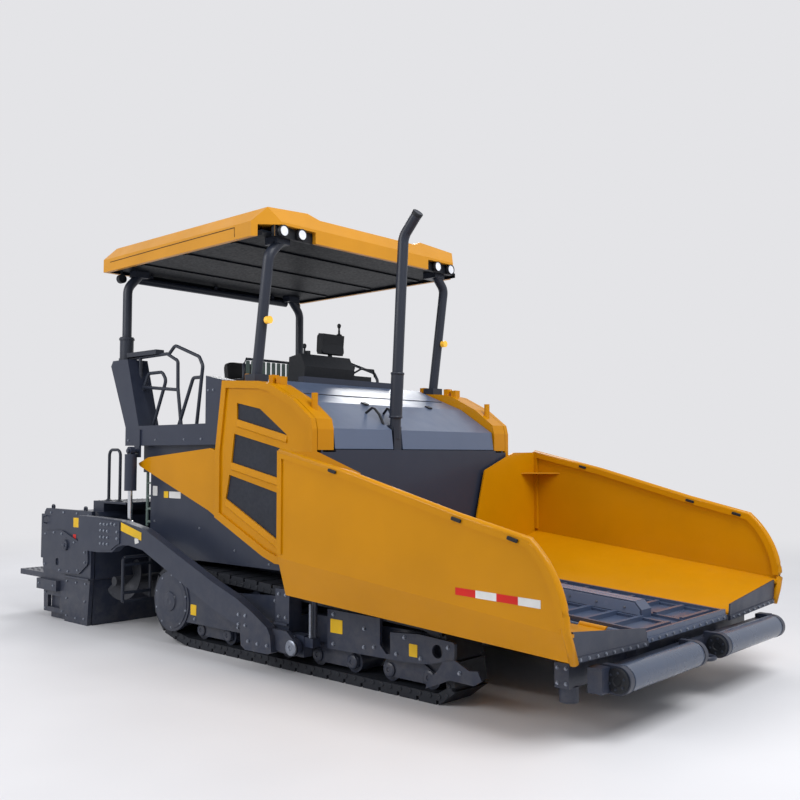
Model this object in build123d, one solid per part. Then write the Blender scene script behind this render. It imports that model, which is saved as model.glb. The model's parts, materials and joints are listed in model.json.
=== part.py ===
"""Tracked asphalt paver: hopper in front, operator platform, floating screed behind.

Frame: +X is the direction of travel, +Y is the machine's left side, +Z is up.
The origin is on the ground, in the middle of the machine's length and width.
Every size is in millimetres.
"""

from build123d import *
from math import atan2, cos, degrees, hypot, pi, radians, sin, tan
import os

# ---------------------------------------------------------------- general sizes
PLATE = 20.0                # frame plates
PIN_SLACK = 0.1             # radial running clearance of a pin in its bore
SEAT_SLACK = 0.3            # gap where a curved face rests on another
WELD = 5.0                  # how far a welded piece reaches into its neighbour
PASS_GAP = 6.0              # between pieces that move past each other
SIDES = (("left", 1), ("right", -1))

# ---------------------------------------------------------------- tracks
TRACK_OUTER_Y = 1250.0
TRACK_WIDTH = 350.0
PAD_HEIGHT = 30.0
BELT_DEPTH = 45.0
SHOE_COUNT = 43
SHOE_GAP = 22.0
SPROCKET_X = -860.0
SPROCKET_Z = 375.0
SPROCKET_RADIUS = 300.0     # to the belt's outer face, under the pads
IDLER_X = 2080.0
IDLER_Z = 330.0
IDLER_RADIUS = 190.0
CONTACT_REAR_X = -640.0
CONTACT_FRONT_X = 2210.0
CORNER_RADIUS = 90.0
ROLLER_RADIUS = 80.0
ROLLER_COUNT = 8
ROLLER_INSET = 135.0        # first roller from the corner's centre
CARRIER_RADIUS = 55.0
CARRIER_XS = (200.0, 1300.0)
ROLLER_WIDTH = 230.0
TRACK_BEAM_LOW = 240.0
TRACK_BEAM_HIGH = 440.0
TRACK_BEAM_WIDTH = 180.0
DRIVE_COVER_RADIUS = 262.0
DRIVE_COVER_DEPTH = 35.0
WHEEL_SLACK = 4.0
GUARD_PLATE = 25.0
GUARD_EYE_X = 2197.0        # round opening of the front guard, over the idler
GUARD_EYE_Z = 357.0
GUARD_EYE_RADIUS = 45.0
NOSE_PLATE = 18.0
ROCKER_PLATE = 20.0
TRACK_CLEARANCE = 40.0      # from the chassis to the track
TRACK_INNER_Y = TRACK_OUTER_Y - TRACK_WIDTH
TRACK_MID_Y = TRACK_OUTER_Y - TRACK_WIDTH / 2
GUARD_Y = TRACK_OUTER_Y + SEAT_SLACK

# ---------------------------------------------------------------- chassis and body
FRAME_REAR_X = -1500.0
FRAME_FRONT_X = 3290.0
FRAME_LOW = 300.0
FRAME_HALF_WIDTH = TRACK_INNER_Y - TRACK_CLEARANCE
TUNNEL_HALF_WIDTH = 600.0
TUNNEL_ROOF_Z = 1230.0
NOSE_HALF_WIDTH = 600.0
NOSE_RAIL_WIDTH = 110.0
BODY_HALF_WIDTH = 1180.0
BODY_LOW = 740.0
BODY_TOP_Z = 1750.0
LADDER_NICHE_X = -1375.0     # rear corner of the body, left open for the ladder
LADDER_NICHE_Y = 1050.0
LADDER_NICHE_TOP = 1500.0
LADDER_Y = BODY_HALF_WIDTH - 30.0
LADDER_DEPTH = 98.0
LADDER_RAIL_RADIUS = 14.0
LADDER_LOW = 1000.0
LADDER_STEP_ZS = (1030.0, 1150.0, 1270.0, 1390.0)
LADDER_STEP_HALF_WIDTH = 10.0
LADDER_STEP_HEIGHT = 18.0
BODY_WALL_X = 955.0         # front face of the engine bay
FRONT_PLATE = 40.0
WEB_LENGTH = 290.0
TIE_EAR_THICKNESS = 25.0
TIE_INSET = 80.0            # rear eyes, inwards from the side box
OUTRIGGER_REAR_X = 3120.0
OUTRIGGER_FRONT_X = 3220.0
OUTRIGGER_OUTER_Y = 1290.0
OUTRIGGER_LOW = 280.0
OUTRIGGER_HIGH = 430.0
OUTRIGGER_FOOT_RADIUS = 60.0
OUTRIGGER_FOOT_Z = 190.0
TIE_BORE_RADIUS = 24.0
ENGINE_LENGTH = 1000.0
ENGINE_WIDTH = 800.0
ENGINE_HEIGHT = 420.0
ENGINE_MID_X = 330.0

# ---------------------------------------------------------------- hopper
DECK_SLOPE = 4.0            # degrees, falling to the front
DECK_FRONT_X = FRAME_FRONT_X + 55.0
DECK_FRONT_Z = 497.0
DECK_THICKNESS = 20.0
CHAIN_INNER_Y = 95.0
CHAIN_OUTER_Y = 545.0
CHAIN_WIDTH = 30.0
CHAIN_HEIGHT = 18.0
CHAIN_COVER_Y = 560.0
CHAIN_COVER_OUTER_Y = 586.0
CHAIN_COVER_HEIGHT = 42.0
BAR_COUNT = 24
BAR_WIDTH = 30.0
BAR_HEIGHT = 30.0
REAR_WALL_TOP = 1684.0
REAR_WALL_HALF_WIDTH = 1200.0
REAR_WALL_THICKNESS = 20.0
REAR_WALL_LIP = 20.0
WING_REAR_X = 1005.0
WING_FRONT_X = 3400.0
WING_SHEET = 14.0
WING_RIM_WIDTH = 46.0       # folded rim along the top and the nose
WING_RIM_DEPTH = 42.0
WING_RIM_PROUD = 12.0
WING_SHELF_Z = 1480.0
WING_HINGE_Y = 620.0
WING_HINGE_BAR = 15.0
WING_KNUCKLE_RADIUS = 28.0
WING_FLOOR_GAP = 40.0       # floor plate's edge from the hinge axis
FLAP_SHEET = 12.0
STRIP_SHEET = 8.0            # bolted rubber strip along the lower front edge
STRIP_HEIGHT = 32.0

# ---------------------------------------------------------------- push rollers
PUSH_AXIS_Z = 358.0
PUSH_ROLLER_RADIUS = 82.0
PUSH_ROLLER_INNER_Y = 220.0
PUSH_ROLLER_OUTER_Y = 1140.0
PUSH_AXLE_RADIUS = 25.0
PUSH_BEAM_REAR_X = FRAME_FRONT_X + 55.0
PUSH_BEAM_FRONT_X = PUSH_BEAM_REAR_X + 50.0
PUSH_AXIS_X = PUSH_BEAM_FRONT_X + 95.0
PUSH_BEAM_LOW = 285.0
PUSH_BEAM_HIGH = 405.0
PUSH_BRACKET = 45.0
PUSH_PIVOT_X = FRAME_FRONT_X + 25.0
PUSH_PIVOT_RADIUS = 18.0
PUSH_END_GAP = 10.0
PUSH_EAR_RADIUS = 84.0
PUSH_BUMPER_X = 3440.0
PUSH_BUMPER_Y = 1290.0
PUSH_BUMPER_LOW = 285.0
PUSH_BUMPER_HIGH = 432.0

# ---------------------------------------------------------------- upper works
PLATFORM_REAR_X = -1715.0
PLATFORM_TOP = 1935.0
PLATFORM_HALF_WIDTH = 1250.0
COLUMN_REAR_X = -435.0
COLUMN_FRONT_X = -185.0
COLUMN_TOP = 2310.0
COLUMN_WIDTH = 150.0
FLOOR_FRONT_X = -20.0
HOOD_REAR_X = 15.0
HOOD_HALF_WIDTH = 1030.0
BEAM_INNER_Y = 1046.0
DOOR_OUTER_Y = BODY_HALF_WIDTH + 72.0
DOOR_INNER_Y = DOOR_OUTER_Y - 30.0
DOOR_BORDER_WIDTH = 62.0     # raised border round the door
DOOR_BORDER_PROUD = 18.0
DOOR_HINGE_X = -280.0
DOOR_HINGE_Y = DOOR_OUTER_Y + 4.0
DOOR_HINGE_ZS = (1240.0, 1620.0)
DOOR_KNUCKLE_RADIUS = 9.0
DOOR_KNUCKLE_LENGTH = 35.0
DOOR_PIN_RADIUS = 5.0
DOOR_EDGE_GAP = 10.0          # from the hinge axis to either panel's edge
POST_RADIUS = 45.0
ROOF_LOW = 3465.0
ROOF_HALF_WIDTH = 1300.0
ROOF_REAR_X = -2085.0
ROOF_FRONT_X = 400.0
ROOF_LINING_Z = 3490.0
REAR_LAMP_Z = ROOF_LINING_Z - 78.0
REAR_LAMP_Y = 1150.0
REAR_LAMP_LENS_X = 52.0        # lens face ahead of the roof's rear edge
REAR_LAMP_CUP_X = 60.0
REAR_LAMP_STALK_X = 85.0
REAR_LAMP_CUP_END_X = 110.0
LAMP_LENS_INSET = 3.0
POST_TOP_Z = 3455.0
POST_HEAD_Z = 3430.0
FRONT_POST_Y = 1140.0
REAR_POST_X = -1915.0
REAR_POST_Y = 1130.0
REAR_POST_FOOT_Z = 2580.0
ROOF_CROWN_Z = 3750.0
ROOF_SHELL = 40.0
ROOF_CORNER = 180.0         # cut across the front corners
RAIL_RADIUS = 16.0
FRONT_POST_X = 115.0
FRONT_POST_TOP_X = 262.0
POD_DEPTH = 85.0           # lamp recesses in the roof's front edge
POD_INNER_Y = 740.0
POD_OUTER_Y = 1160.0
POD_TOP = 3562.0
LAMP_YS = (890.0, 1090.0)
LAMP_Z = 3515.0
LAMP_RADIUS = 44.0
BLIND_X = -2010.0
BLIND_Z = 3424.0
BLIND_RADIUS = 38.0
BLIND_HALF_WIDTH = 1000.0
EXHAUST_Y = -300.0
EXHAUST_RADIUS = 46.0
EXHAUST_SLEEVE_RADIUS = 54.0

# ---------------------------------------------------------------- tow arms and screed
TOW_PIN_X = 935.0
TOW_PIN_Z = 235.0
TOW_PIN_RADIUS = 35.0
ARM_INNER_Y = 1400.0
ARM_THICKNESS = 80.0
ARM_OUTER_Y = ARM_INNER_Y + ARM_THICKNESS
ARM_JOINT_PLATE = 10.0
LINK_OUTER_Y = ARM_INNER_Y + 35.0
SCREED_FRONT_X = -2145.0
SCREED_JOIN_X = -2585.0
SCREED_REAR_X = -3055.0
GATE_REAR_X = -3100.0
SCREED_TOP = 1100.0
SCREED_HALF_WIDTH = 1290.0
SCREED_SLIDE_GAP = 15.0
EXTENSION_INNER_Y = 20.0
GATE_INNER_Y = 1300.0
GATE_OUTER_Y = 1340.0
WALKWAY_REAR_X = -3605.0
WALKWAY_TOP = 445.0
WALKWAY_DEPTH = 55.0
STEP_FRONT_X = -1800.0      # walk-over step on the screed
STEP_REAR_X = -2400.0
STEP_INNER_Y = 300.0
STEP_OUTER_Y = 1180.0
STEP_TOP = 1205.0

# ---------------------------------------------------------------- auger
AUGER_X = -1885.0
AUGER_Z = 450.0
AUGER_RADIUS = 190.0
AUGER_SHAFT_RADIUS = 45.0
AUGER_CASE_HALF = 55.0
AUGER_OUTER_Y = 1240.0
AUGER_PITCH = 330.0
AUGER_BLADE = 14.0

# ---------------------------------------------------------------- cylinders
LIFT_TOP_X = -1490.0
LIFT_TOP_Z = 1700.0
LIFT_EYE_Z = 1000.0
LIFT_MID_Y = 1325.0
LIFT_BARREL_RADIUS = 56.0
LIFT_BARREL_LENGTH = 370.0
LIFT_PIN_RADIUS = 20.0
LIFT_EYE_SLACK = 22.0
FOLD_X = 1500.0
FOLD_BASE_Y = 770.0
FOLD_BASE_Z = 270.0
FOLD_EYE_Y = 800.0
FOLD_EYE_Z = 575.0
FOLD_BARREL_RADIUS = 32.0
FOLD_BARREL_LENGTH = 238.0
FOLD_PIN_RADIUS = 14.0
FOLD_ROD_RADIUS = 16.0
FOLD_EYE_SLACK = 22.0


# ================================================================ plain shapes
def block(x0, x1, y0, y1, z0, z1):
    """Box between two corners."""
    middle = Pos((x0 + x1) / 2, (y0 + y1) / 2, (z0 + z1) / 2)
    return middle * Box(abs(x1 - x0), abs(y1 - y0), abs(z1 - z0))


def side_plate(outline, y0, y1):
    """Plate with an outline of (x, z) points, from y0 to y1."""
    wire = Wire.make_polygon([Vector(x, min(y0, y1), z) for x, z in outline])
    return extrude(Face(wire), abs(y1 - y0), dir=(0, 1, 0))


def cross_plate(outline, x0, x1):
    """Plate with an outline of (y, z) points, from x0 to x1."""
    wire = Wire.make_polygon([Vector(min(x0, x1), y, z) for y, z in outline])
    return extrude(Face(wire), abs(x1 - x0), dir=(1, 0, 0))


def soft_plate(outline, radius, y0, y1):
    """Plate with an outline of (x, z) points whose corners are rounded."""
    points = [(x, min(y0, y1), z) for x, z in outline]
    wire = Wire(FilletPolyline(*points, radius=radius, close=True).edges())
    return extrude(Face(wire), abs(y1 - y0), dir=(0, 1, 0))


def rod(start, end, radius):
    """Round bar between two points."""
    start, end = Vector(*start), Vector(*end)
    return Solid.make_cylinder(radius, (end - start).length, Plane(start, z_dir=end - start))


def tube(points, bend, radius=RAIL_RADIUS):
    """Bent round bar through the points, with one bend radius."""
    path = FilletPolyline(*points, radius=bend) if len(points) > 2 else Line(*points)
    return sweep(Plane(path @ 0, z_dir=path % 0) * Circle(radius), path=path)


def box_between(rectangle, y0, y1):
    """Block from a side-view rectangle (x from, x to, z from, z to) between two values of y."""
    x0, x1, z0, z1 = rectangle
    return block(x0, x1, y0, y1, z0, z1)


def join(shapes):
    """One shape made of several that touch or overlap."""
    shapes = list(shapes)
    return shapes[0].fuse(*shapes[1:]) if len(shapes) > 1 else shapes[0]


def group(shapes):
    """Separate solids kept together in one node."""
    return Compound(children=[solid for shape in shapes for solid in shape.solids()])


def on_side(shape, sign):
    """The shape as drawn for the left side, or mirrored to the right side."""
    return shape if sign > 0 else mirror(shape, about=Plane.XZ)


def line_z(x, start, end):
    """Height at x of the straight line between two (x, z) points."""
    return start[1] + (end[1] - start[1]) * (x - start[0]) / (end[0] - start[0])


# ================================================================ tracks
# belt wheels, counter-clockwise seen from the right side: x, z, radius to the belt's outer face
BELT_WHEELS = (
    (CONTACT_REAR_X, PAD_HEIGHT + CORNER_RADIUS, CORNER_RADIUS),
    (CONTACT_FRONT_X, PAD_HEIGHT + CORNER_RADIUS, CORNER_RADIUS),
    (IDLER_X, IDLER_Z, IDLER_RADIUS),
    (SPROCKET_X, SPROCKET_Z, SPROCKET_RADIUS),
)


def belt_pieces():
    """Straight runs and arcs of the belt's outer face, in order."""
    normals = []
    for (ax, az, ar), (bx, bz, br) in zip(BELT_WHEELS, BELT_WHEELS[1:] + BELT_WHEELS[:1]):
        length = hypot(bx - ax, bz - az)
        along = ((bx - ax) / length, (bz - az) / length)
        lean = (ar - br) / length
        across = (1 - lean * lean) ** 0.5
        normals.append((along[1] * across + along[0] * lean, -along[0] * across + along[1] * lean))
    pieces = []
    for index, (x, z, r) in enumerate(BELT_WHEELS):
        start, end = normals[index - 1], normals[index]
        first = atan2(start[1], start[0])
        turn = (atan2(end[1], end[0]) - first) % (2 * pi)
        pieces.append(("arc", (x, z, r), first, turn, turn * r))
        nx, nz, nr = BELT_WHEELS[(index + 1) % len(BELT_WHEELS)]
        p = (x + r * end[0], z + r * end[1])
        q = (nx + nr * end[0], nz + nr * end[1])
        pieces.append(("run", p, q, end, hypot(q[0] - p[0], q[1] - p[1])))
    return pieces


BELT_PIECES = belt_pieces()
BELT_LENGTH = sum(piece[4] for piece in BELT_PIECES)


def belt_point(distance, offset):
    """Point at a distance along the belt, offset outwards from its outer face."""
    distance = distance % BELT_LENGTH
    for kind, a, b, c, length in BELT_PIECES:
        if distance > length:
            distance -= length
            continue
        if kind == "arc":
            angle = b + c * distance / length
            reach = a[2] + offset
            return (a[0] + reach * cos(angle), a[1] + reach * sin(angle))
        share = distance / length
        x = a[0] + (b[0] - a[0]) * share
        z = a[1] + (b[1] - a[1]) * share
        return (x + c[0] * offset, z + c[1] * offset)


def track_loop():
    """Closed loop of shoes on its chain, as one fixed ring."""
    pitch = BELT_LENGTH / SHOE_COUNT
    outer, inner = [], []
    for shoe in range(SHOE_COUNT):
        start = shoe * pitch + SHOE_GAP / 2
        end = (shoe + 1) * pitch - SHOE_GAP / 2
        outer += [belt_point(start, 0), belt_point(start, PAD_HEIGHT)]
        outer += [belt_point(end, PAD_HEIGHT), belt_point(end, 0)]
        inner.append(belt_point(shoe * pitch, -BELT_DEPTH))
    ring = side_plate(outer, TRACK_INNER_Y, TRACK_OUTER_Y)
    return ring - side_plate(inner, TRACK_INNER_Y - 1, TRACK_OUTER_Y + 1)


def belt_inner_z(x):
    """Height of the belt's inner face over x on the top run."""
    slope = BELT_PIECES[5]
    return line_z(x, slope[1], slope[2]) - BELT_DEPTH


def roller_x(index):
    """Place of a track roller, evenly spaced along the ground run."""
    run = CONTACT_FRONT_X - CONTACT_REAR_X - 2 * ROLLER_INSET
    return CONTACT_REAR_X + ROLLER_INSET + run * index / (ROLLER_COUNT - 1)


# outlines of the outer guards: x, z
REAR_GUARD = ((-900, 540), (60, 530), (600, 562), (600, 215), (-900, 215))
FRONT_GUARD = (
    (1136, 235),
    (1851, 246),
    (2101, 260),
    (2343, 318),
    (2344, 422),
    (2329, 434),
    (2040, 450),
    (1770, 431),
    (1770, 282),
    (1732, 276),
    (1671, 331),
    (1671, 515),
    (1136, 521),
)
NOSE_OUTLINE = (
    (2108, 105),
    (2218, 149),
    (2316, 191),
    (2514, 186),
    (2579, 226),
    (2547, 282),
    (2478, 275),
    (2364, 324),
    (2258, 301),
    (2218, 243),
    (2128, 154),
)
GUARD_BRACKET_XS = (-350.0, 300.0, 1350.0, 1920.0)


def track_frame():
    """Track beam with its rollers, idler, drive sprocket and outer guards."""
    half = ROLLER_WIDTH / 2
    inner, outer = TRACK_MID_Y - half, TRACK_MID_Y + half
    beam_inner = TRACK_MID_Y - TRACK_BEAM_WIDTH / 2
    beam_outer = TRACK_MID_Y + TRACK_BEAM_WIDTH / 2
    shapes = [block(SPROCKET_X, IDLER_X, beam_inner, beam_outer, TRACK_BEAM_LOW, TRACK_BEAM_HIGH)]
    # sag of a straight shoe link below the true arc
    sag = PAD_HEIGHT / 2
    roller_z = PAD_HEIGHT + BELT_DEPTH + ROLLER_RADIUS + SEAT_SLACK
    for x in map(roller_x, range(ROLLER_COUNT)):
        shapes.append(rod((x, inner, roller_z), (x, outer, roller_z), ROLLER_RADIUS))
        shapes.append(block(x - 40, x + 40, inner + 30, outer - 30, roller_z, TRACK_BEAM_LOW + 5))
    for x in CARRIER_XS:
        z = belt_inner_z(x) - CARRIER_RADIUS - sag
        shapes.append(rod((x, inner, z), (x, outer, z), CARRIER_RADIUS))
        shapes.append(block(x - 30, x + 30, inner + 40, outer - 40, TRACK_BEAM_HIGH - 5, z))
    for x, z, reach in ((SPROCKET_X, SPROCKET_Z, SPROCKET_RADIUS), (IDLER_X, IDLER_Z, IDLER_RADIUS)):
        wheel = reach - BELT_DEPTH - sag - WHEEL_SLACK
        shapes.append(rod((x, inner, z), (x, outer, z), wheel))
    # final drive housing, flush with the chassis inside and with its round cover outside
    shapes.append(rod(
        (SPROCKET_X, FRAME_HALF_WIDTH, SPROCKET_Z),
        (SPROCKET_X, TRACK_OUTER_Y + SEAT_SLACK, SPROCKET_Z),
        150,
    ))
    cover_face = TRACK_OUTER_Y + SEAT_SLACK + DRIVE_COVER_DEPTH
    shapes.append(rod(
        (SPROCKET_X, TRACK_OUTER_Y + SEAT_SLACK, SPROCKET_Z),
        (SPROCKET_X, cover_face, SPROCKET_Z),
        DRIVE_COVER_RADIUS,
    ))
    # cross beams to the chassis
    for x in (-300.0, 1700.0):
        shapes.append(block(
            x - 90,
            x + 90,
            FRAME_HALF_WIDTH if x < BODY_WALL_X else NOSE_HALF_WIDTH,
            beam_inner + 5,
            TRACK_BEAM_LOW + 20,
            TRACK_BEAM_HIGH - 20,
        ))
    # outer guards on their brackets
    shapes.append(side_plate(REAR_GUARD, GUARD_Y, GUARD_Y + GUARD_PLATE))
    front_guard = side_plate(FRONT_GUARD, GUARD_Y, GUARD_Y + GUARD_PLATE)
    eye = (GUARD_EYE_X, GUARD_Y - 1, GUARD_EYE_Z), (GUARD_EYE_X, GUARD_Y + GUARD_PLATE + 1, GUARD_EYE_Z)
    shapes.append(front_guard - rod(*eye, GUARD_EYE_RADIUS))
    shapes.append(side_plate(NOSE_OUTLINE, GUARD_Y + GUARD_PLATE, GUARD_Y + GUARD_PLATE + NOSE_PLATE))
    for x in GUARD_BRACKET_XS:
        shapes.append(
            block(
                x - 60,
                x + 60,
                beam_outer - WELD,
                GUARD_Y + WELD,
                TRACK_BEAM_LOW + 20,
                TRACK_BEAM_HIGH - 20,
            )
        )
    # rocker plates that carry the rollers in pairs
    for index in range(0, ROLLER_COUNT, 2):
        a, b = roller_x(index), roller_x(index + 1)
        middle = (a + b) / 2
        rocker = [
            (a - 55, roller_z - 30),
            (a + 45, roller_z - 45),
            (b - 45, roller_z - 45),
            (b + 55, roller_z - 30),
            (b + 55, roller_z + 35),
            (middle + 90, TRACK_BEAM_LOW + 20),
            (middle - 90, TRACK_BEAM_LOW + 20),
            (a - 55, roller_z + 35),
        ]
        shapes.append(side_plate(rocker, outer - WELD, outer + ROCKER_PLATE))
    return join(shapes)


# ================================================================ chassis
def deck_z(x):
    """Top face of the conveyor deck at x."""
    return DECK_FRONT_Z + (DECK_FRONT_X - x) * tan(radians(DECK_SLOPE))


def under_deck_z(x):
    return deck_z(x) - DECK_THICKNESS / cos(radians(DECK_SLOPE))


# lashing eyes: x and z of the bore, inner y, rear x, front x, low z, high z
TIE_DOWNS = (
    (3040.0, 250.0, NOSE_HALF_WIDTH - TIE_EAR_THICKNESS, 2990.0, 3090.0, 205.0, FRAME_LOW + WELD),
    (
        FRAME_REAR_X - 40,
        600.0,
        FRAME_HALF_WIDTH - TIE_INSET,
        FRAME_REAR_X - 90,
        FRAME_REAR_X + 120,
        545.0,
        655.0,
    ),
)


def frame_side():
    """Side of the chassis: box beside the conveyor tunnel, front rail and lashing eyes."""
    box_side = side_plate(
        [
            (FRAME_REAR_X, BODY_LOW),
            (-1250, FRAME_LOW),
            (BODY_WALL_X, FRAME_LOW),
            (BODY_WALL_X, TUNNEL_ROOF_Z),
            (FRAME_REAR_X, TUNNEL_ROOF_Z),
        ],
        TUNNEL_HALF_WIDTH,
        FRAME_HALF_WIDTH,
    )
    rail_inner = NOSE_HALF_WIDTH - NOSE_RAIL_WIDTH
    rail_end = FRAME_FRONT_X - FRONT_PLATE
    rail = side_plate(
        [
            (BODY_WALL_X, FRAME_LOW),
            (rail_end, FRAME_LOW),
            (rail_end, under_deck_z(rail_end)),
            (BODY_WALL_X, under_deck_z(BODY_WALL_X)),
        ],
        rail_inner,
        NOSE_HALF_WIDTH,
    )
    # rail and side box meet over the full depth of this web
    web = block(
        BODY_WALL_X - WEB_LENGTH,
        BODY_WALL_X,
        rail_inner,
        TUNNEL_HALF_WIDTH,
        FRAME_LOW,
        under_deck_z(BODY_WALL_X),
    )
    # lower mount of the wing folding cylinder
    plate = block(
        FOLD_X - 65, FOLD_X - 38, NOSE_HALF_WIDTH - 10, FOLD_BASE_Y + 30, FOLD_BASE_Z - 30, FOLD_BASE_Z + 70
    )
    fold_pin = rod(
        (FOLD_X - 45, FOLD_BASE_Y, FOLD_BASE_Z),
        (FOLD_X + 25, FOLD_BASE_Y, FOLD_BASE_Z),
        FOLD_PIN_RADIUS,
    )
    cylinder_mount = tilted(join([plate, fold_pin]))
    return join([box_side, rail, web, cylinder_mount, *tie_down_ears()])


def outrigger():
    """Front arm below the wing, with its round foot."""
    x = (OUTRIGGER_REAR_X + OUTRIGGER_FRONT_X) / 2
    y = OUTRIGGER_OUTER_Y - 80
    arm = block(
        OUTRIGGER_REAR_X, OUTRIGGER_FRONT_X, NOSE_HALF_WIDTH, OUTRIGGER_OUTER_Y, OUTRIGGER_LOW, OUTRIGGER_HIGH
    )
    return join([arm, rod((x, y, OUTRIGGER_FOOT_Z), (x, y, OUTRIGGER_LOW + WELD), OUTRIGGER_FOOT_RADIUS)])


# cross beams between the chassis sides: x, half length
CROSS_BEAMS = (
    (-1150.0, TUNNEL_HALF_WIDTH),
    (-300.0, TUNNEL_HALF_WIDTH),
    (550.0, TUNNEL_HALF_WIDTH),
    (1700.0, NOSE_HALF_WIDTH - NOSE_RAIL_WIDTH),
    (2600.0, NOSE_HALF_WIDTH - NOSE_RAIL_WIDTH),
)
CROSS_BEAM_HALF_WIDTH = 60.0
CROSS_BEAM_HEIGHT = 120.0
PIVOT_EAR_REACH = 23.0
PIVOT_EAR_HALF_WIDTH = 60.0
PIVOT_EAR_HEIGHT = 28.0
PIVOT_EAR_LOWS = (PUSH_AXIS_Z - 50, PUSH_AXIS_Z + 22)
PIVOT_PIN_REACH = 55.0


def frame_crossbeams():
    """Beams between the chassis sides, and the front plate with the push beam's pivot."""
    shapes = []
    for x, half in CROSS_BEAMS:
        rear, ahead = x - CROSS_BEAM_HALF_WIDTH, x + CROSS_BEAM_HALF_WIDTH
        shapes.append(block(rear, ahead, -half, half, FRAME_LOW, FRAME_LOW + CROSS_BEAM_HEIGHT))
    front = block(
        FRAME_FRONT_X - FRONT_PLATE,
        FRAME_FRONT_X,
        -NOSE_HALF_WIDTH,
        NOSE_HALF_WIDTH,
        FRAME_LOW - 10,
        under_deck_z(FRAME_FRONT_X),
    )
    half, ear_front = PIVOT_EAR_HALF_WIDTH, PUSH_PIVOT_X + PIVOT_EAR_REACH
    ears = [
        block(FRAME_FRONT_X - 5, ear_front, -half, half, low, low + PIVOT_EAR_HEIGHT)
        for low in PIVOT_EAR_LOWS
    ]
    pin = rod(
        (PUSH_PIVOT_X, 0, PUSH_AXIS_Z - PIVOT_PIN_REACH),
        (PUSH_PIVOT_X, 0, PUSH_AXIS_Z + PIVOT_PIN_REACH),
        PUSH_PIVOT_RADIUS,
    )
    return group([*shapes, join([front, *ears, pin]), *[on_side(outrigger(), sign) for sign in (1, -1)]])


def tie_down_ears():
    """Left lashing eyes: one below the front rail and one behind the side box."""
    shapes = []
    for x, z, y, rear, front, low, high in TIE_DOWNS:
        ear = block(rear, front, y, y + TIE_EAR_THICKNESS, low, high)
        ear -= rod((x, y - 1, z), (x, y + TIE_EAR_THICKNESS + 1, z), TIE_BORE_RADIUS)
        shapes.append(ear)
    return shapes


def body_shell():
    """Dark body over the tracks: engine bay walls, floor, and the rear tank block."""
    bay_rear = COLUMN_FRONT_X
    shapes = [
        block(FRAME_REAR_X, bay_rear, -BODY_HALF_WIDTH, BODY_HALF_WIDTH, TUNNEL_ROOF_Z, BODY_TOP_Z),
        block(
            bay_rear - 5,
            BODY_WALL_X,
            -BODY_HALF_WIDTH,
            BODY_HALF_WIDTH,
            TUNNEL_ROOF_Z,
            TUNNEL_ROOF_Z + PLATE,
        ),
    ]
    for sign in (1, -1):
        sponson = block(
            FRAME_REAR_X,
            BODY_WALL_X,
            FRAME_HALF_WIDTH,
            BODY_HALF_WIDTH,
            BODY_LOW,
            TUNNEL_ROOF_Z + 5,
        )
        wall = side_plate(
            [
                (bay_rear, TUNNEL_ROOF_Z),
                (BODY_WALL_X, TUNNEL_ROOF_Z),
                *BEAM_UNDERSIDE,
            ],
            BODY_HALF_WIDTH - PLATE,
            BODY_HALF_WIDTH,
        )
        shapes += [on_side(sponson, sign), on_side(wall, sign)]
    body = join(shapes)
    for sign in (1, -1):
        reach = BODY_HALF_WIDTH + 1
        niche = block(
            FRAME_REAR_X - 1,
            LADDER_NICHE_X,
            LADDER_NICHE_Y,
            reach,
            BODY_LOW - 1,
            LADDER_NICHE_TOP,
        )
        body -= on_side(niche, sign)
    return body


def engine_block():
    """Engine as one plain mass on the bay's floor."""
    x0 = ENGINE_MID_X - ENGINE_LENGTH / 2
    z0 = TUNNEL_ROOF_Z + PLATE
    return block(x0, x0 + ENGINE_LENGTH, -ENGINE_WIDTH / 2, ENGINE_WIDTH / 2, z0, z0 + ENGINE_HEIGHT)


# ================================================================ side panels and doors
# top line of the side panels: x, z
PANEL_TOP = (
    (-185.0, 2293.0),
    (297.0, 2263.0),
    (444.0, 2232.0),
    (723.0, 2099.0),
    (935.0, 1942.0),
    (955.0, 1860.0),
)
BEAM_UNDERSIDE = ((955.0, 1700.0), (840.0, 1820.0), (430.0, 2090.0), (-185.0, 2150.0))
# lugs beside the canopy post's foot: x from, x to, z from, z to
ROOF_LUGS = (
    (-15.0, 38.0, 2255.0, 2345.0),
    (300.0, 350.0, 2235.0, 2318.0),
    (395.0, 450.0, 2220.0, 2300.0),
)
ROOF_LUG_Y = (1090.0, 1160.0)
ROOF_LUG_PIN = ((325.0, 1125.0, 2295.0), (420.0, 1125.0, 2285.0))
ROOF_LUG_PIN_RADIUS = 16.0
# yellow tail behind the door: x, z
TAIL_REAR = ((-1475.0, 1585.0), (-1315.0, 1640.0), (-365.0, 1720.0))
TAIL_FRONT_TOP = 1703.0
TAIL_FRONT_LOW = 1147.0
TAIL_UNDERSIDE = ((-385.0, 1190.0), (-1455.0, 1560.0))
# windows: corner points (x, z)
WINDOWS = (
    ((0, 2095), (302, 2037), (646, 1814), (2, 1959)),
    ((-33, 1840), (860, 1650), (860, 1410), (-68, 1600)),
    ((-92, 1497), (830, 1295), (810, 880), (505, 999), (-140, 1296)),
)


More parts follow.
